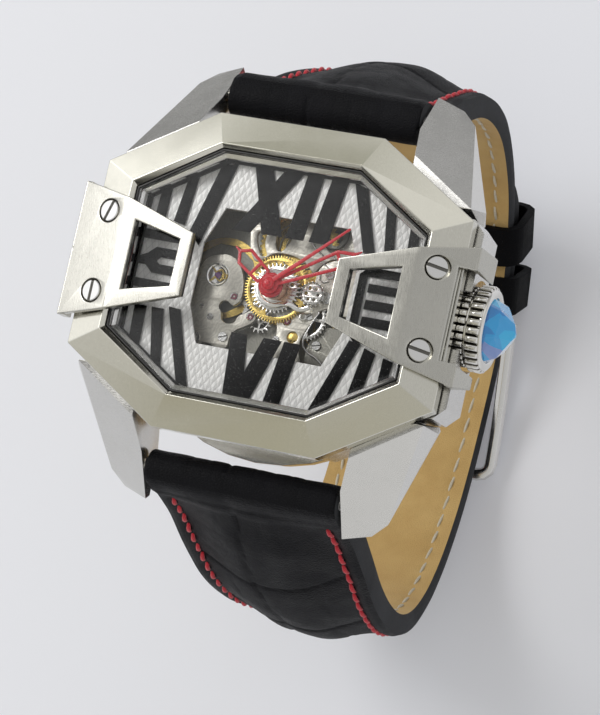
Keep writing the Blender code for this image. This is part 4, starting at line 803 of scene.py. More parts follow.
def numeral_bars():
    """Outlines of the numeral bars, each running in from the edge of the dial."""
    rim, side = 14.5, 18.2
    twelve = [
        [(-5.6, rim), (-3.2, rim), (-0.2, 6.2), (-2.9, 6.2)],
        [(-1.6, rim), (0.95, rim), (-4.4, 6.1), (-6.75, 6.1)],
        [(1.45, rim), (3.55, rim), (2.6, 6.2), (0.3, 6.2)],
        [(4.65, rim), (6.8, rim), (5.7, 6.2), (3.35, 6.2)],
    ]
    six = [
        [(-3.9, -6.5), (-1.8, -6.5), (-0.7, -rim), (-3.3, -rim)],
        [(0.4, -6.5), (2.75, -6.5), (0.15, -rim), (-2.3, -rim)],
        [(3.1, -6.5), (5.25, -6.5), (4.1, -rim), (2.0, -rim)],
    ]
    corners = [
        [(7.6, 14.4), (9.4, 13.9), (12.0, 6.1), (10.5, 6.0)],
        [(12.2, 12.3), (13.6, 11.4), (14.3, 6.9), (13.1, 6.6)],
        [(15.8, 10.0), (17.1, 9.2), (17.3, 6.2), (16.0, 6.0)],
        [(11.2, -4.9), (12.7, -5.1), (9.7, -13.9), (7.9, -14.3)],
        [(13.3, -5.5), (14.8, -6.0), (14.1, -11.1), (12.3, -12.3)],
        [(15.9, -6.3), (17.2, -6.6), (17.0, -9.2), (15.8, -10.0)],
        [(-12.7, -4.8), (-11.1, -4.9), (-8.0, -14.3), (-9.6, -13.9)],
        [(-14.9, -5.2), (-13.3, -5.2), (-12.1, -12.3), (-13.6, -11.4)],
        [(-17.2, -5.2), (-15.6, -5.2), (-15.5, -10.1), (-17.0, -9.2)],
        [(-9.9, 13.8), (-7.8, 14.4), (-10.7, 3.4), (-12.2, 5.1)],
        [(-13.9, 11.2), (-12.5, 12.2), (-13.1, 5.6), (-14.6, 5.9)],
        [(-17.0, 9.3), (-15.7, 10.1), (-15.8, 6.0), (-17.2, 6.0)],
    ]
    three = [[(10.7, 3.4), (11.7, 4.4), (side, 4.4), (side, 3.4), (11.75, 3.2), (11.75, -3.7),
              (side, -3.9), (side, -5.0), (11.7, -5.0), (10.7, -4.0)]]
    for low, high in ((1.3, 2.4), (-0.8, 0.4), (-2.9, -1.7)):
        three.append([(12.1, low), (side, low), (side, high), (12.1, high)])
    nine = [[(-11.6, 1.1), (-15.2, 1.1), (-15.6, 0.7), (-15.6, 0.5), (-15.2, 0.2), (-11.6, 0.2),
             (-11.6, -1.0), (-16.0, -1.0), (-17.0, -0.1), (-side, -0.1), (-side, 0.8),
             (-17.0, 1.4), (-16.0, 2.3), (-11.6, 2.3)]]
    for low, high in ((3.2, 4.4), (-3.0, -1.9)):
        nine.append([(-side, low), (-11.6, low), (-11.6, high), (-side, high)])
    return twelve + six + corners + three + nine


def dial():
    """Patterned dial with a rounded edge round its window, and the raised numerals."""
    add_piece("dial_fine", plate_mesh([octagon(*DIAL), octagon(*WINDOW)], 10.05, 10.4, 0.07),
              "dial_silver", "dial", 30)
    inner = octagon(18.0, 14.3, 8.8, 8.5)
    pieces = [plate_mesh([octagon(*DIAL), inner], 10.45, 10.74, 0.05)]
    for k, bar in enumerate(numeral_bars()):
        high = 10.75 + 0.002 * (k % 3)
        pieces.append(plate_mesh([bar], 10.45, high, 0.06))
    add_piece("numerals_fine", joined(*pieces), "numeral_black", "numerals", 30)


def crossing(first, second):
    """Point where two lines meet, each given as (normal x, normal y, distance)."""
    scale = first[0] * second[1] - first[1] * second[0]
    return ((first[2] * second[1] - first[1] * second[2]) / scale,
            (first[0] * second[2] - first[2] * second[0]) / scale)


def inset(corners, width):
    """Convex outline, anticlockwise, drawn in by a width."""
    lines = []
    for (ax, ay), (bx, by) in zip(corners, corners[1:] + corners[:1]):
        length = hypot(bx - ax, by - ay)
        across = (-(by - ay) / length, (bx - ax) / length)
        lines.append((*across, across[0] * ax + across[1] * ay + width))
    return [crossing(a, b) for a, b in zip(lines[-1:] + lines[:-1], lines)]


def beyond(corners, limit, side):
    """The part of an outline whose x is past a limit, on the side given by a sign."""
    kept = []
    for a, b in zip(corners, corners[1:] + corners[:1]):
        if side * (a[0] - limit) >= 0:
            kept.append(a)
        if (a[0] - limit) * (b[0] - limit) < 0:
            share = (limit - a[0]) / (b[0] - a[0])
            kept.append((limit, a[1] + (b[1] - a[1]) * share))
    return kept


def skeleton_hand(node, angle, levels, corners, rail, bar, tail, hub):
    """Open hand: rails along its corners, a cross bar, a pointer and a stepped hub."""
    low, high = levels
    windows = inset(corners, rail)
    loops = [corners, beyond(windows, bar - rail / 2, -1), beyond(windows, bar + rail / 2, 1)]
    tip = max(corners)[0]
    pointer = [(tip - rail * 1.2, -rail / 2), (tail, -0.1), (tail, 0.1),
               (tip - rail * 1.2, rail / 2)]
    pipe = turned_mesh([(0, low - 0.1), (hub, low - 0.1), (hub, high), (hub - 0.12, high + 0.1),
                        (hub - 0.3, high + 0.12), (0, high + 0.12)], 48)
    mesh = joined(plate_mesh(loops, low, high, 0.09),
                  plate_mesh([pointer], low + 0.01, high - 0.01, 0.08), pipe)
    add_piece(node + "_fine", turned(mesh, angle), "hand_red", node, 40)


def hands():
    """Hour and minute hands as open frames, and the thin seconds hand above them."""
    corners = [(0.9, 0), (1.46, -1.12), (5.1, -1.3), (6.3, 0), (5.1, 1.3), (1.46, 1.12)]
    skeleton_hand("hour_hand", 144, (11.12, 11.42), corners, 0.40, 2.95, 6.85, 1.55)
    corners = [(1.0, -0.5), (9.45, -1.25), (11.9, 0), (9.45, 1.25), (1.0, 0.5)]
    skeleton_hand("minute_hand", 28.6, (11.72, 12.02), corners, 0.44, 9.3, 12.3, 1.2)
    needle = plate_mesh([[(0, -0.3), (12.2, -0.16), (12.2, 0.16), (0, 0.3)]], 12.35, 12.6, 0.08)
    cap = turned_mesh([(0, 12.25), (0.8, 12.25), (0.8, 12.6), (0.62, 12.75), (0.34, 12.82),
                       (0.3, 12.93), (0, 12.98)], 40)
    add_piece("seconds_hand_fine", turned(joined(needle, cap), 43.2), "hand_red",
              "seconds_hand", 40)


# ---------------------------------------------------------------- crown

CROWN_Z = 5.8
VALLEY = 0.45                # share of a flute's height that lies in its dark groove
STONE_TURN = 0.35            # turn of the stone's facets in radians


def fluted(radius, depth, start, end, count=30, per_flute=12, chamfer=0.2):
    """Fluted drum along +X with plump ridges and rounded ends."""

    def ring(x, shrink, keep):
        points = []
        for i in range(count * per_flute):
            wave = abs(sin(pi * i / per_flute))
            r = radius - shrink - depth * keep * (1 - wave ** 0.4)
            points.append((x, *polar(r, 2 * pi * i / (count * per_flute), (0, CROWN_Z))))
        return points

    def valley(i):
        return int(sin(pi * ((i + 0.5) / per_flute % 1)) < VALLEY)

    levels = [(start, chamfer, 0.3), (start + chamfer * 0.4, chamfer * 0.3, 0.8),
              (start + chamfer, 0, 1), (end - chamfer, 0, 1),
              (end - chamfer * 0.4, chamfer * 0.3, 0.8), (end, chamfer, 0.3)]
    return lofted([ring(*level) for level in levels], slot=valley)


def crown():
    """Two fluted tiers with a thin ring between them, a smooth rim and the faceted stone."""
    tiers = [fluted(5.4, 0.66, 25.3, 26.95), fluted(5.0, 0.6, 23.35, 24.95)]
    middle = turned_mesh([(0, 24.7), (4.6, 24.7), (4.8, 24.98), (5.0, 25.05), (5.0, 25.2),
                          (4.8, 25.28), (4.6, 25.6), (0, 25.6)], 72, (1, 0, 0))
    rim = turned_mesh([(4.0, 26.7), (4.0, 27.2), (4.1, 27.3), (4.7, 27.3), (4.95, 27.2),
                       (5.02, 27.0), (4.9, 26.6), (4.2, 26.6)], 96, (1, 0, 0))
    plain = moved(joined(middle, rim), (0, 0, CROWN_Z))
    add_piece("crown_fine", joined(*tiers, plain), ["crown_steel", "groove_shade"], "crown", 55)
    corners = []
    for r, x, shift, count in ((3.95, 26.8, 0, 12), (3.95, 27.25, 0, 12), (3.35, 28.55, 0.5, 6),
                               (1.3, 30.0, 0, 3), (0.3, 30.28, 0.4, 3)):
        for k in range(count):
            angle = 2 * pi * (k + shift) / count + STONE_TURN
            corners.append((x, *polar(r, angle, (0, CROWN_Z))))
    mesh = with_modifiers(hull_mesh(corners), bevel_step(0.05, 1, 5))
    add_piece("crown_stone_fine", mesh, "blue_cut_glass", "crown_stone", 4)


# ---------------------------------------------------------------- straps

UPPER_STRAP = ((23.4, 5.7), (24.9, 5.45), (25.3, 4.3), (25.3, 2.4), (25.7, -0.6), (27.4, -6.0),
               (30.8, -14), (33.6, -22.5), (34.6, -31), (33.9, -39), (31.3, -46), (27.6, -51.7),
               (22.3, -56.2), (16.6, -59.2), (10.6, -61.0))
LOWER_STRAP = ((-23.4, 5.7), (-24.9, 5.45), (-25.3, 4.3), (-25.3, 2.4), (-25.7, -0.6),
               (-27.3, -6.0), (-30.6, -14), (-33.9, -22.5), (-35.9, -31), (-36.4, -39),
               (-34.9, -46.5), (-31.2, -53.2), (-25.8, -58.4), (-19.2, -62.0), (-12, -63.9),
               (-4, -64.9), (4, -65.3), (10.5, -64.9), (17, -63.0), (23.5, -59.6), (29, -55.2),
               (32.6, -50.6))
HALF_LUG, HALF_BUCKLE, HALF_TIP = 12.7, 10.9, 10.6   # half widths of the straps
ROLLED, ROLLED_SHARE = 2.1, 0.045   # thickness round the bar, and its share of the length
PADDED = 4.3                 # thickness just after the roll
CROWN_RISE = 2.4             # how far the padding rises along the middle
ROLL_LENGTH = 3.4            # length of the strap that lies round the bar
ROW_LENGTH = 0.42            # length of strap from one row of its mesh to the next
TIP_LENGTH = 9.0             # length of the rounded tip
SEAM_START = 7.6             # first stitch, measured along the strap
STITCH_SHARE = 0.86          # length of a stitch as a share of the pitch
STITCH_LEAN = 0.16           # how far the ends of a stitch lie off the seam line
CREASE = 0.16                # place of the lengthwise groove, left of the middle
SIDE_CREASES = (-0.55, -0.38, 0.12, 0.30, 0.48, 0.62)
ROLL = {"upper": (23.9, 4.75, 2.5), "lower": (-24.3, 4.6, 2.2)}   # centre and radius of each roll
BUCKLE_BAR = (9.0, -61.2)


class Path:
    """Smooth curve through (y, z) points, measured along its length in millimetres."""

    def __init__(self, points):
        self.samples = smooth_line(points, 24)
        self.reach = [0.0]
        for a, b in zip(self.samples, self.samples[1:]):
            self.reach.append(self.reach[-1] + (b - a).length)
        self.length = self.reach[-1]

    def at(self, distance):
        """Point and direction at a distance along the path."""
        distance = min(max(distance, 0.0), self.length)
        i = 0
        step = 1
        while step < len(self.reach):
            step *= 2
        while step:
            if i + step < len(self.reach) - 1 and self.reach[i + step] <= distance:
                i += step
            step //= 2
        gap = self.reach[i + 1] - self.reach[i]
        share = (distance - self.reach[i]) / gap if gap else 0.0
        a, b = self.samples[max(i - 1, 0)], self.samples[min(i + 2, len(self.samples) - 1)]
        return self.samples[i].lerp(self.samples[i + 1], share), (b - a).normalized()


def ease(value, low, high):
    """0 below low, 1 above high, smooth between."""
    share = min(max((value - low) / (high - low), 0.0), 1.0)
    return share * share * (3 - 2 * share)


def groove_profile(distance, width):
    return exp(-(distance / width) ** 2)


class StrapShape:
    """One strap: where its surface lies for a place across (-1..1) and along (mm)."""

    def __init__(self, points, outward, half_widths, thickness, crown, seed):
        self.path = Path(points)
        self.outward = outward
        self.half_widths = half_widths
        self.thickness = thickness
        self.crown = crown
        self.scales = self.lay_scales(seed)

    def half_width(self, along):
        return self.half_widths(along / self.path.length)

    def lay_scales(self, seed):
        """Embossed hide: arched grooves across, and side grooves that branch from the middle."""
        draw = random.Random(seed)
        bands, here = [], 26.0
        while here < self.path.length - 4:
            bands.append({"start": here, "bend": draw.uniform(2.0, 3.6),
                          "slant": draw.uniform(-1.0, 1.0), "depth": draw.uniform(0.7, 1.0),
                          "side": draw.uniform(0.34, 0.52), "phase": draw.uniform(0, 6)})
            here += draw.uniform(10.5, 14.0)
        return bands

    def embossing(self, across, along):
        """Height of the embossed surface in mm, at or below 0."""
        width = self.half_width(along)
        middle = -CREASE + 0.03 * sin(along * 0.21) + 0.012 * sin(along * 0.9)
        gap = (across - middle) * width
        depth = ease(along, 0.5, 5) * (0.24 * groove_profile(gap, 0.30)
                                       + 0.16 * groove_profile(gap, 1.3))
        for k, place in enumerate(SIDE_CREASES):
            crease = (across - place - 0.01 * sin(along * 0.8 + k)) * width
            fade = ease(along, 1.0, 3.0) * (1 - ease(along, 7 + k % 3 * 2, 13 + k % 2 * 3))
            depth += 0.07 * fade * groove_profile(crease, 0.25)
        for i, band in enumerate(self.scales):
            line = (band["start"] - band["bend"] * (across - middle) ** 2 * 1.6
                    + band["slant"] * across + 0.35 * sin(across * 5 + band["phase"]))
            depth += 0.22 * band["depth"] * groove_profile(along - line, 0.34)
            depth += 0.12 * band["depth"] * groove_profile(along - line, 1.4)
            if i + 1 < len(self.scales):
                end = self.scales[i + 1]["start"]
                inside = ease(along, line, line + 1.5) * (1 - ease(along, end - 2.5, end - 0.5))
                for sign in (1, -1):
                    branch = (across - sign * band["side"] - 0.02 * sin(along * 0.6)) * width
                    depth += 0.16 * inside * groove_profile(branch, 0.3)
        folds = noise.noise(Vector((across * 2.2, along * 0.16, 3.0)))
        return (-depth * (1 - ease(abs(across), 0.78, 0.88))
                + 0.16 * folds * ease(along, 3, 9))

    def outer_height(self, across, along):
        """Height of the outer face above the lining."""
        thick = self.thickness(along / self.path.length)
        bulge = self.crown(along - ROLL_LENGTH)
        rise = bulge * (1 - ease(abs(across), 0.12, 0.80)) ** 0.85
        started = ease(along, 5.0, 7.5)
        channel = 0.20 * started * groove_profile((abs(across) - self.stitch_line(along))
                                                  * self.half_width(along), 0.5)
        edge = 0.28 * ease(abs(across), 0.93, 1.0)
        return thick * (1 - 0.04 * started) + rise - channel - edge + self.embossing(across, along)

    def stitch_line(self, along):
        return 1 - 2.15 / self.half_width(along)

    def point(self, across, height, along):
        """Point in space: height is measured outward from the lining face."""
        centre, heading = self.path.at(along)
        out = Vector((-heading.y, heading.x)) * self.outward
        offset = height - self.thickness(along / self.path.length) / 2
        yz = centre + out * offset
        return Vector((across * self.half_width(along), yz.x, yz.y))


def strap_mesh(strap, round_end=False):
    """Closed band: outer hide, cut edges and lining, with a slightly rounded section."""
    length = strap.path.length
    rows = int(length / ROW_LENGTH)
    columns = 76
    across = [sin(pi / 2 * (2 * k / columns - 1)) for k in range(columns + 1)]
    shares = (0.80, 0.55, 0.30, 0.10)     # heights of the rows on a cut edge

    def loop(along):
        left = min((length - along) / TIP_LENGTH, 1.0) if round_end else 1.0
        shrink = max(sqrt(max(0.0, 1 - (1 - left) ** 2)), 0.03)

        def edge(side, heights):
            thick = strap.thickness(along / length)
            return [strap.point(side * shrink * (1 + 0.012 * sin(pi * share)
                                                 - 0.01 * (share < 0.2)), thick * share, along)
                    for share in heights]

        hide = [strap.point(u * shrink, strap.outer_height(u * shrink, along), along)
                for u in across]
        lining = [strap.point(u * shrink * 0.985, lining_height(strap, u, along), along)
                  for u in reversed(across)]
        return hide + edge(1, shares) + lining + edge(-1, reversed(shares))

    def slot(k):
        """Hide, then a cut edge, the lining and the other cut edge."""
        on_edge = k < columns + 5 or k >= 2 * columns + 6
        return 0 if k < columns else 1 if on_edge else 2

    return lofted([loop(length * i / rows) for i in range(rows + 1)], slot=slot, cap_slot=1)


def lining_height(strap, across, along):
    """The lining dips at its seam and has faint puckers beside it."""
    off = (abs(across) - strap.stitch_line(along)) * strap.half_width(along)
    pucker = 0.05 * sin(2 * pi * along / 2.3) * groove_profile(off, 1.2)
    return 0.10 * groove_profile(off, 0.5) + pucker


def stitch(shape, start, end, up, width, sag=0.35, twist=2.4, rings=9, sides=10):
    """One plump twisted stitch between two points, sunk into the hide at both ends."""
    direction = end - start
    side = direction.cross(up).normalized()
    up = side.cross(direction).normalized()
    loops = []
    for i in range(rings):
        share = i / (rings - 1)
        centre = start.lerp(end, share) + up * width * (sin(pi * share) * 0.55 - sag)
        swell = width * (0.55 + 0.45 * sin(pi * share) ** 0.4)
        loop = []
        for k in range(sides):
            angle = 2 * pi * k / sides
            lobed = swell * (0.40 + 0.12 * abs(sin(1.5 * (angle + twist * share * pi))))
            loop.append(centre + (side * cos(angle) + up * sin(angle)) * lobed)
        loops.append(loop)
    skin(shape, loops)


def seam(name, strap, end, pitch, width, outer, finish):
    """Rows of stitches near both edges, on the hide or on the lining."""

    def build(shape):
        for side in (1, -1):
            for i in range(int((end - SEAM_START) / pitch)):
                a = SEAM_START + i * pitch
                b = a + pitch * STITCH_SHARE
                ends = []
                for along, lean in ((a, -STITCH_LEAN), (b, STITCH_LEAN)):
                    place = strap.stitch_line(along) + lean / strap.half_width(along)
                    if outer:
                        height = strap.outer_height(place, along) + width * 0.22
                    else:
                        height = lining_height(strap, place, along) + width * 0.05
                    ends.append(strap.point(side * place, height, along))
                above = strap.point(side * place, 50 if outer else -50, (a + b) / 2)
                stitch(shape, ends[0], ends[1], (above - ends[0]).normalized(), width)

    add_piece(name, mesh_of(build), finish, sharp=60)


def loop_mesh(centre, outer, inner, half, steps=56):
    """Leather sleeve round a bar along X, creased like the strap and with rounded rims."""
    lip = 0.3
    profile = []
    for k in range(121):
        x = (half - lip) * (k / 60 - 1)
        crease = 0.2 * groove_profile(x + CREASE * half, 0.32)
        for place in SIDE_CREASES:
            crease += 0.05 * groove_profile(x - place * half, 0.3)
        profile.append((outer - crease + 0.03 * sin(x * 1.3), x))
    profile += [(outer - lip * 0.3, half - lip * 0.3), (outer - lip, half), (inner, half),
                (inner, -half), (outer - lip, -half), (outer - lip * 0.3, lip * 0.3 - half)]
    return moved(turned_mesh(profile, steps, (1, 0, 0)), (0, *centre))


def straps():
    """Both padded straps with the rolls round their bars and their seams."""

    def taper(end, high):
        return lambda share: HALF_LUG + (end - HALF_LUG) * ease(share, 0.15, high)

    def padding(middle, last):
        def thickness(share):
            if share < ROLLED_SHARE:
                return ROLLED + (PADDED - ROLLED) * ease(share, 0.0, ROLLED_SHARE)
            if share < 0.5:
                return PADDED + (middle - PADDED) * ease(share, ROLLED_SHARE, 0.5)
            return middle + (last - middle) * ease(share, 0.5, 1.0)
        return thickness

    def crown_of(full, lost, start, end):
        return lambda along: (CROWN_RISE * ease(along, -3.6, full)
                              * (1 - lost * ease(along, start, end)))

    upper = StrapShape(UPPER_STRAP, 1, taper(HALF_BUCKLE, 0.85), padding(3.2, 2.6),
                       crown_of(12, 0.8, 34, 62), 11)
    lower = StrapShape(LOWER_STRAP, -1, taper(HALF_TIP, 0.6), padding(3.0, 2.3),
                       crown_of(13, 0.85, 38, 66), 5)
    finish = ["black_leather", "cut_edge", "lining"]
    for name, strap, unsewn in (("upper", upper, 4), ("lower", lower, 12)):
        y, z, roll = ROLL[name]
        pieces = [strap_mesh(strap, name == "lower"), loop_mesh((y, z), roll, 0.9, 12.6)]
        if name == "upper":
            pieces.append(loop_mesh(BUCKLE_BAR, 2.1, 1.0, 10.8))
        piece = add_piece(f"strap_{name}_leather", joined(*pieces), finish, "strap_" + name, 38)
        last = strap.path.length - unsewn
        seam(f"red_stitching_{name}", strap, last, 2.75, 0.62, True, "red_thread")
        seam(f"lining_stitching_{name}", strap, last, 3.1, 0.42, False, "cream_thread")


def keepers_and_buckle():
    """Small strap parts, as the CAD has them with rounded edges."""
    # the keepers carry the painted shade of their darker leather copy
    refined("keeper_fixed", "keeper_leather", width=0.35, segments=3, sharp=50)
    refined("keeper_free", "keeper_leather", width=0.35, segments=3, sharp=50)
    refined("buckle_frame", "buckle_steel", width=0.05, segments=1, sharp=40, flat=0.2)
    refined("buckle_bar", "buckle_steel", width=0.05)
    refined("buckle_tongue", "polished_steel", width=0.16, segments=3)
    for end in ("upper", "lower"):
        refined("spring_bar_" + end, "polished_steel", width=0.08)


# ---------------------------------------------------------------- camera, light and floor


CAMERA_PLACE = (114.4, -44.8, 340.68)
CAMERA_RIGHT = (0.934, 0.2167, -0.284)
CAMERA_UP = (-0.1748, 0.9706, 0.1657)
LENS, SENSOR = 143.96, 36.0
KEY_PLACE = (-350, 175, 433)          # middle of the square key light
KEY_SIZE, KEY_POWER = 300, 1.35       # side in mm, power in watts
FLOOR_HALF = 900                      # half the side of the floor
FLOOR_GAP = 0.02                      # the floor lies this far under the strap
FLOOR_GLOW = 0.13
BASE_LIGHT = 0.50                     # even grey of the light tent
SOFT_LIGHTS = (  # direction it comes from, how much brighter or darker, how tight, colour
    ((-0.78, 0.42, 0.47), 0.75, 7, (1.0, 1.0, 1.0)),
    ((0.12, 0.72, 0.68), 0.42, 14, (1.0, 0.99, 0.96)),
    ((-0.30, 0.86, 0.42), -0.16, 30, (1.0, 1.0, 1.25)),
    ((-0.25, -0.62, 0.74), -0.16, 8, (0.9, 1.0, 1.5)),
    ((0.9, -0.2, 0.4), 0.30, 6, (0.98, 0.99, 1.0)),
    ((-0.80, -0.15, 0.58), 0.17, 8, (1.0, 1.0, 1.0)),
    ((-0.12, -0.56, 0.82), 0.10, 14, (1.0, 0.98, 0.9)),
    ((-0.32, 0.75, 0.58), -0.22, 16, (1.0, 1.0, 1.1)),
    ((0.30, -0.93, 0.19), 0.22, 12, (1.0, 1.0, 1.0)),
)
PAINTED_SHADE_FLOOR = (170, 250)               # painted shade: the floor is coloured dark from here on, where the table ends behind the watch
DARK_CARD = (-0.26, 0.015, 0.965)     # direction of the dark card seen in the crystal
CARD_EDGE = (0.9912, 0.9950)          # cosines of its outer and inner edge
CARD_LIGHT = 0.06                     # share of the light that the card leaves


def camera():
    """Camera above the dial, a little to the right of it and towards six o'clock."""
    data = bpy.data.cameras.new("camera")
    data.lens, data.sensor_width, data.clip_start = LENS, SENSOR, 0.01
    made = linked(bpy.data.objects.new("camera", data))
    right = Vector(CAMERA_RIGHT).normalized()
    back = right.cross(Vector(CAMERA_UP)).normalized()
    turn = Matrix((right, back.cross(right).normalized(), back)).transposed().to_4x4()
    made.matrix_world = Matrix.Translation(Vector(CAMERA_PLACE) * MM) @ turn
    bpy.context.scene.camera = made


def key_light():
    data = bpy.data.lights.new("key", "AREA")
    data.size, data.energy, data.color = KEY_SIZE * MM, KEY_POWER, (1.0, 0.99, 0.97)
    made = linked(bpy.data.objects.new("key", data))
    made.location = Vector(KEY_PLACE) * MM
    made.rotation_euler = (-made.location).to_track_quat("-Z", "Y").to_euler()


def surround():
    """Light tent: an even grey with broad bright and dark directions and one dark card."""
    world = bpy.data.worlds.new("studio")
    bpy.context.scene.world = world
    graph = Graph(world)
    toward = graph.node("ShaderNodeTexCoord").outputs["Generated"]

    def vector(operation, links, values=None, output=0):
        return graph.node("ShaderNodeVectorMath", links, values,
                          operation=operation).outputs[output]

    def near(direction):
        return vector("DOT_PRODUCT", {0: toward}, {1: direction}, "Value")

    total = graph.node("ShaderNodeCombineXYZ", values={i: BASE_LIGHT for i in range(3)}).outputs[0]
    for direction, strength, tight, colour in SOFT_LIGHTS:
        lobe = graph.math("POWER", graph.math("MAXIMUM", near(direction), 0.0), tight)
        tinted = vector("SCALE", {3: lobe}, {0: [strength * c for c in colour]})
        total = vector("ADD", {0: total, 1: tinted})
    kept = graph.spread(near(DARK_CARD), 1.0, CARD_LIGHT, *CARD_EDGE)
    total = vector("SCALE", {0: total, 3: kept})
    graph.tree.links.new(total, graph.tree.nodes["Background"].inputs["Color"])


def studio():
    """Pale floor under the watch with painted shade where the table ends behind it, a light tent
    round it and one large soft key light.
    """
    floor_z = CAD_BOX[0][2] / MM - FLOOR_GAP

    def build(shape):
        bmesh.ops.create_grid(shape, x_segments=1, y_segments=1, size=FLOOR_HALF)
        bmesh.ops.translate(shape, vec=(0, 0, floor_z), verts=shape.verts)

    floor = linked(bpy.data.objects.new("floor", mesh_of(build)))
    surface = Surface("floor", (0.80, 0.815, 0.86), 0.7, Specular_IOR_Level=0.1)
    shade = surface.mix(surface.cloud(0.004), (0.70, 0.71, 0.75), (0.72, 0.73, 0.77))
    place = surface.node("ShaderNodeSeparateXYZ", {"Vector": surface.coords()}).outputs
    away = surface.math("SUBTRACT", place[1], place[0])
    # painted shade: the floor turns dark grey past the table's end behind the watch
    surface.feed("Base Color", surface.mix(surface.spread(away, 0.0, 1.0, *PAINTED_SHADE_FLOOR), shade,
                                           (0.16, 0.16, 0.15)))
    surface.set("Emission Color", (0.93, 0.94, 1.0, 1.0))
    surface.set("Emission Strength", FLOOR_GLOW)
    floor.data.materials.append(surface.material)
    surround()
    key_light()
    settings = bpy.context.scene.view_settings
    settings.view_transform = "Standard"
    settings.look = "None"


# ---------------------------------------------------------------- movement


def smooth_loop(points):
    """Closed outline that runs smoothly through its points."""
    knots = [Vector(p) for p in (*points[-1:], *points, *points[:2])]
    return [tuple(point) for point in smooth_steps(knots, 6)]


def rounded_loop(points, radius, steps=4):
    """Closed outline with straight sides and rounded corners."""
    count = len(points)
    loop = []
    for i in range(count):
        before, corner, after = (Vector(points[(i + k) % count]) for k in (-1, 0, 1))
        to_before, to_after = before - corner, after - corner
        reach = min(radius, to_before.length * 0.45, to_after.length * 0.45)
        start = corner + to_before.normalized() * reach
        end = corner + to_after.normalized() * reach
        for k in range(steps + 1):
            t = k / steps
            loop.append(tuple(start * (1 - t) ** 2 + corner * 2 * t * (1 - t) + end * t * t))
    return loop


def with_headings(line):
    """Each point of a line with the direction it runs in."""
    return [(point, (after - before).normalized())
            for before, point, after in zip(line[:1] + line, line, line[1:] + line[-1:])]


def strip_loop(points, width):
    """Outline of a strip of even width along an open smooth line."""
    left, right = [], []
    for point, heading in with_headings(smooth_line(points)):
        across = Vector((-heading.y, heading.x)) * width / 2
        left.append(tuple(point + across))
        right.append(tuple(point - across))
    return left + right[::-1]


def wire_mesh(points, radius, sides=8):
    """Round wire along a smooth line through (x, y, z) points."""
    loops = []
    for point, heading in with_headings(smooth_line(points)):
        side = heading.cross(Vector((0, 0, 1))).normalized()
        up = side.cross(heading)
        loops.append([point + side * y + up * z for y, z in circle(radius, sides)])
    return lofted(loops)


def gear_loop(teeth, radius, depth):
    """Outline of a wheel with fine rounded teeth."""
    loop = []
    for i in range(teeth):
        for place, reach in ((-0.5, 0.0), (-0.26, 0.0), (-0.16, 0.75), (-0.08, 1.0), (0.08, 1.0),
                             (0.16, 0.75), (0.26, 0.0)):
            loop.append(polar(radius - depth * (1 - reach), 2 * pi * (i + place) / teeth))
    return loop


def spoke_gaps(inner, outer, spokes, width, turn=0.0):
    """Openings between the spokes of a wheel."""
    gaps = []
    for i in range(spokes):
        gap = []
        for radius, order in ((inner, 1), (outer, -1)):
            clear = width / 2 / radius
            start = 2 * pi * i / spokes + turn + clear
            end = 2 * pi * (i + 1) / spokes + turn - clear
            gap += [polar(radius, start + (end - start) * k / 8) for k in range(9)][::order]
        gaps.append(gap)
    return gaps


def wheel_piece(node, axis, loops, levels, finish, *extra):
    """Wheel with fine teeth in place of a CAD wheel, on its own axis."""
    pieces = [moved(plate_mesh(loops, *levels, 0.025), (*axis, 0))]
    pieces += [moved(mesh, (*axis, 0)) for mesh in extra]
    add_piece(node + "_fine", joined(*pieces), finish, node, 35)


def axis_of(node):
    """Centre of a CAD node in the plane of the dial, in millimetres."""
    low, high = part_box(node)
    return (low.x + high.x) / 2 / MM, (low.y + high.y) / 2 / MM


def jewel_setting(name, centre, radius, level, colour="jewel_rose"):
    """Pierced ruby in a polished sink."""
    ring = turned_mesh([(radius * 1.02, level - 0.1), (radius * 1.5, level - 0.1),
                        (radius * 1.5, level + 0.02), (radius * 1.38, level + 0.04),
                        (radius * 1.02, level - 0.03)], 28)
    stone = turned_mesh([(radius * 0.2, level - 0.1), (radius * 1.03, level - 0.1),
                         (radius * 1.03, level - 0.02), (radius * 0.5, level),
                         (radius * 0.2, level - 0.05)], 28)
    for face in stone.polygons:
        face.material_index = 1
    add_piece(name, moved(joined(ring, stone), (*centre, 0)), ["polished_steel", colour],
              sharp=35)


COCK = ((-8.4, 3.3), (-10.2, 2.6), (-11.0, 1.0), (-10.9, -1.0), (-11.2, -3.0), (-10.9, -5.0),
        (-10.3, -7.2), (-9.8, -8.4), (-9.0, -8.5), (-8.3, -8.1), (-7.5, -8.1), (-6.8, -8.5),
        (-5.8, -8.5), (-5.2, -8.0), (-5.1, -6.7), (-4.5, -5.8), (-3.5, -5.2), (-2.7, -4.6),
        (-2.3, -3.9), (-2.6, -3.3), (-3.2, -3.1), (-3.9, -3.6), (-4.6, -4.0), (-5.0, -4.9),
        (-5.9, -5.2), (-6.7, -4.8), (-6.9, -4.0), (-7.4, -3.3), (-7.2, -2.6), (-6.5, -2.4),
        (-6.0, -2.7), (-5.5, -2.8), (-4.9, -2.2), (-4.7, -1.2), (-4.9, 0.3), (-5.4, 1.6),
        (-6.3, 2.8), (-7.4, 3.3))
MOTION_COVER = ((0.3, -2.2), (0.55, -3.4), (0.95, -5.0), (1.1, -6.8), (1.5, -9.0), (4.6, -9.0),
                (4.3, -7.0), (4.2, -5.8), (4.6, -4.4), (5.2, -3.2), (5.9, -1.7), (7.2, -1.2),
                (9.6, -1.6), (9.8, 3.8), (8.0, 5.2), (5.6, 4.4), (4.6, 3.2), (4.4, 1.0),
                (4.0, -1.6), (2.4, -2.0), (1.2, -1.7))
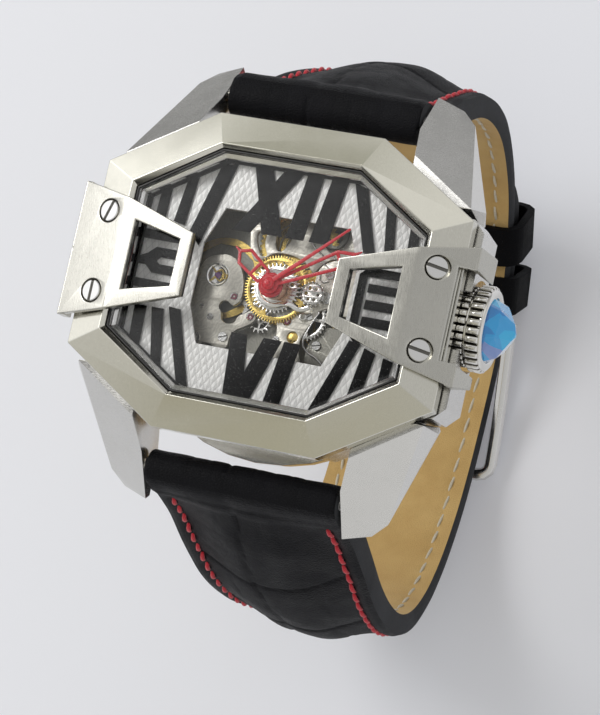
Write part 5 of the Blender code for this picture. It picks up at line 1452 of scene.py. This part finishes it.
BARREL_BRIDGE = ((-9.6, 9.0), (-6.4, 8.9), (-5.5, 6.6), (-5.0, 4.6), (-4.1, 3.2), (-2.9, 3.7),
                 (-1.8, 4.5), (-0.4, 4.7), (1.2, 4.5), (2.6, 3.9), (3.7, 3.0), (4.6, 4.0),
                 (5.6, 4.9), (7.4, 5.4), (8.6, 6.4), (9.2, 9.2), (8.6, 10.6), (-9.2, 10.6))
CLICK_PLATE = ((5.75, -3.5), (9.2, -3.2), (9.0, -7.4), (7.0, -9.0), (4.7, -8.6), (4.9, -6.2))
COCK_LEVEL, BRIDGE_LEVEL, COVER_LEVEL = 7.5, 7.3, 8.1


def bridges():
    """Engraved bridges with the openings that show in the dial window, the click plate, a recess
    ring and a brass post.
    """
    add_piece("balance_cock_fine", plate_mesh([smooth_loop(COCK)], 6.85, COCK_LEVEL, 0.07),
              "movement_steel", "balance_cock", 30)
    brass_well = circle(0.72, 24, (3.1, -5.5))
    cover = plate_mesh([smooth_loop(MOTION_COVER), brass_well], 7.88, COVER_LEVEL, 0.06)
    add_piece("motion_cover_fine", cover, "movement_steel", "motion_cover", 30)
    slots = [rounded_loop([(-4.6, 6.9), (-4.3, 5.4), (-3.5, 3.9), (-2.6, 4.0), (-3.3, 5.4),
                           (-3.3, 7.2)], 0.5),
             rounded_loop([(-2.2, 9.2), (-1.9, 5.6), (-1.5, 4.9), (-0.9, 4.9), (-0.4, 5.6),
                           (0.3, 7.2), (0.3, 9.2)], 0.5),
             circle(2.1, 40, (5.4, 8.1))]
    barrel = plate_mesh([smooth_loop(BARREL_BRIDGE), *slots], 6.85, BRIDGE_LEVEL + 0.1, 0.06)
    add_piece("train_bridge_fine", barrel, "movement_steel", "train_bridge", 30)
    add_piece("click_plate", plate_mesh([rounded_loop(CLICK_PLATE, 0.3)], 6.6, 7.05, 0.08),
              "dark_steel", sharp=30)
    recess = turned_mesh([(2.1, 6.6), (2.1, 7.42), (1.98, 7.46), (1.75, 7.2), (1.7, 6.75),
                          (1.0, 6.7), (0.9, 6.62)], 40)
    add_piece("recess_ring", moved(recess, (5.4, 8.1, 0)), "dark_steel", sharp=30)
    well = turned_mesh([(0, 7.78), (0.71, 7.78), (0.71, 7.9), (0.45, 8.02), (0, 8.04)], 28)
    add_piece("brass_post", moved(well, (3.1, -5.5, 0)), "gilt_brass", sharp=40)


def balance_jewel():
    """Shock spring shaped like a lyre over the violet jewel of the balance."""
    level, middle = COCK_LEVEL, (-8.45, 0.6, 0)
    seat = turned_mesh([(1.05, level - 0.1), (1.5, level - 0.1), (1.5, level + 0.03),
                        (1.42, level + 0.06), (1.12, level - 0.05)], 44)
    floor = turned_mesh([(0, level - 0.02), (1.08, level - 0.02), (1.08, level + 0.015),
                         (0, level + 0.015)], 36)
    add_piece("jewel_seat", moved(joined(seat, floor), middle), "polished_steel", sharp=35)
    stone = turned_mesh([(0, level), (0.42, level), (0.40, level + 0.12), (0.2, level + 0.2),
                         (0, level + 0.22)], 28)
    add_piece("balance_stone", moved(stone, middle), "jewel_violet", sharp=60)
    arm = ((-9.35, 0.85, 0.12), (-9.0, 0.62, 0.16), (-8.75, 0.30, 0.2), (-8.4, 0.52, 0.2),
           (-8.0, 0.70, 0.18), (-7.75, 0.35, 0.16), (-7.55, 0.05, 0.16))
    arms = [wire_mesh([(x, y * side + middle[1], level + z) for x, y, z in arm], 0.1)
            for side in (1, -1)]
    eye = turned_mesh([(0.22, level + 0.08), (0.36, level + 0.08), (0.36, level + 0.24),
                       (0.22, level + 0.24)], 20)
    add_piece("lyre_spring", joined(*arms, moved(eye, (-7.45, 0.55, 0))), "gilt_brass", sharp=60)


def small_parts():
    """Screws, jewels and springs on the bridges: place, size and the angle of each slot."""
    cock = ((-6.0, -6.95, 0.62, 20), (-9.5, -7.6, 0.6, 70), (-8.2, -4.75, 0.42, -30),
            (-9.6, -3.55, 0.30, 10))
    cover = ((4.7, -2.6, 0.48, 40), (6.3, 0.0, 0.78, 80), (6.2, 3.0, 0.6, 35),
             (1.1, -6.1, 0.4, -20), (2.9, -8.0, 0.5, 60))
    for name, levels, screws in (("cock", (7.3, COCK_LEVEL + 0.22), cock),
                                 ("cover", (8.0, COVER_LEVEL + 0.2), cover)):
        for k, (x, y, radius, slot_angle) in enumerate(screws):
            screw_head(f"{name}_screw_{k + 1}", (x, y), radius, levels, slot_angle)
    screw_head("click_screw", (6.1, -5.9), 0.58, (6.9, 7.35), 15)
    jewel_setting("cock_jewel", (-5.7, -1.7), 0.36, COCK_LEVEL + 0.03)
    jewel_setting("finger_jewel", (-3.05, -3.85), 0.36, COCK_LEVEL + 0.03)
    jewel_setting("bridge_jewel", (2.0, -3.6), 0.44, COVER_LEVEL + 0.03)
    wires = [
        wire_mesh([(5.9, -1.9, 8.25), (5.4, -3.0, 8.25), (4.95, -4.3, 8.25), (4.6, -5.4, 8.2),
                   (4.7, -6.3, 8.0), (5.4, -7.0, 7.8), (6.4, -7.4, 7.6), (7.4, -8.1, 7.5)], 0.12),
        wire_mesh([(3.6, 3.6, 8.3), (3.9, 4.2, 8.3), (4.7, 4.3, 8.3), (5.6, 3.9, 8.3),
                   (6.3, 3.3, 8.3)], 0.08),
        wire_mesh([(4.9, 3.0, 8.3), (5.0, 2.2, 8.3), (5.6, 1.9, 8.3), (6.2, 2.2, 8.3)], 0.08),
        wire_mesh([(3.4, 7.2, 7.55), (4.4, 6.5, 7.55), (5.6, 5.6, 7.55), (6.2, 5.0, 7.55)], 0.1),
        wire_mesh([(2.6, 6.8, 7.55), (3.4, 6.0, 7.55), (4.6, 5.2, 7.55)], 0.1),
    ]
    add_piece("steel_springs", joined(*wires), "polished_steel", sharp=60)


def motion_wheels():
    """Hour wheel, drive wheel, intermediate and minute wheels, and the curved spring over them."""
    loops = [gear_loop(72, 4.3, 0.36), *spoke_gaps(1.7, 3.55, 4, 0.75, radians(70))]
    collar = turned_mesh([(1.28, 8.45), (1.6, 8.45), (1.6, 8.75), (1.45, 8.9), (1.28, 8.9)], 40)
    wheel_piece("hour_wheel", (0, 0), loops, (8.4, 8.62), "gilt_brass", collar)
    pipe = turned_mesh([(1.31, 9.3), (1.48, 9.3), (1.5, 9.4), (1.5, 10.95), (1.42, 11.02),
                        (1.31, 11.02)], 48)
    add_piece("hour_pipe", pipe, "copper", sharp=40, body="hour_group")
    holes = holes_round(2.15, (20, 75, 130, 200, 290), 0.28, 14)
    loops = [gear_loop(36, 3.2, 0.42), circle(1.35, 36), *holes]
    wheel_piece("hour_drive_wheel", (0, 0), loops, (9.0, 9.27), "wheel_steel")
    ring = turned_mesh([(1.34, 9.2), (1.46, 9.2), (1.46, 9.4), (1.4, 9.44), (1.34, 9.4)], 48)
    holes = holes_round(0.78, range(0, 360, 60), 0.22, 12)
    wheel_piece("intermediate_wheel", axis_of("intermediate_wheel"),
                [gear_loop(18, 1.62, 0.34), *holes], (9.0, 9.25), "wheel_steel", ring)
    loops = [gear_loop(36, 2.95, 0.3), *spoke_gaps(0.9, 2.3, 5, 0.4)]
    collar = turned_mesh([(0.3, 7.55), (0.5, 7.55), (0.5, 8.6), (0.42, 8.65), (0.3, 8.65)], 24)
    wheel_piece("minute_wheel", axis_of("minute_wheel"), loops, (7.5, 7.72), "wheel_steel",
                collar)
    start, end, count = 150, 285, 11      # degrees round the centre, in even steps
    bend = [polar(2.2, radians(start + (end - start) * k / count)) for k in range(count + 1)]
    path = bend + [(1.6, -1.75), (2.5, -1.75), (3.3, -2.1), (4.1, -2.05), (4.9, -1.6)]
    add_piece("hour_spring_fine", plate_mesh([strip_loop(path, 0.62)], 9.4, 9.68, 0.13),
              "polished_steel", "hour_spring", 40)


def movement():
    """Bridges and wheels in the dial window, and every other part as the CAD has it."""
    bridges()
    balance_jewel()
    small_parts()
    motion_wheels()
    for node, finish in (("main_plate", "dark_steel"), ("movement_ring", "movement_steel"),
                         ("crown_tube", "polished_steel"), ("rotor_bearing", "polished_steel"),
                         ("mainspring", "dark_steel")):
        refined(node, finish, 0.03, 1)
    for node, finish in (("centre_wheel", "gilt_brass"), ("third_wheel", "gilt_brass"),
                         ("fourth_wheel", "gilt_brass"), ("escape_wheel", "wheel_steel"),
                         ("barrel", "gilt_brass"), ("pallet_fork", "wheel_steel"),
                         ("balance_wheel", "gilt_brass"), ("hairspring", "hairspring_blue"),
                         ("cannon_pinion", "wheel_steel"), ("crown_gasket", "rubber"),
                         ("winding_stem", "wheel_steel"), ("winding_pinion", "wheel_steel"),
                         ("crown_wheel", "wheel_steel"), ("ratchet_wheel", "wheel_steel"),
                         ("rotor", "movement_steel")):
        refined(node, finish, 0.025, 1)


camera()
studio()
case()
bezel()
crystal()
side_brackets()
dial()
movement()
hands()
crown()
straps()
keepers_and_buckle()
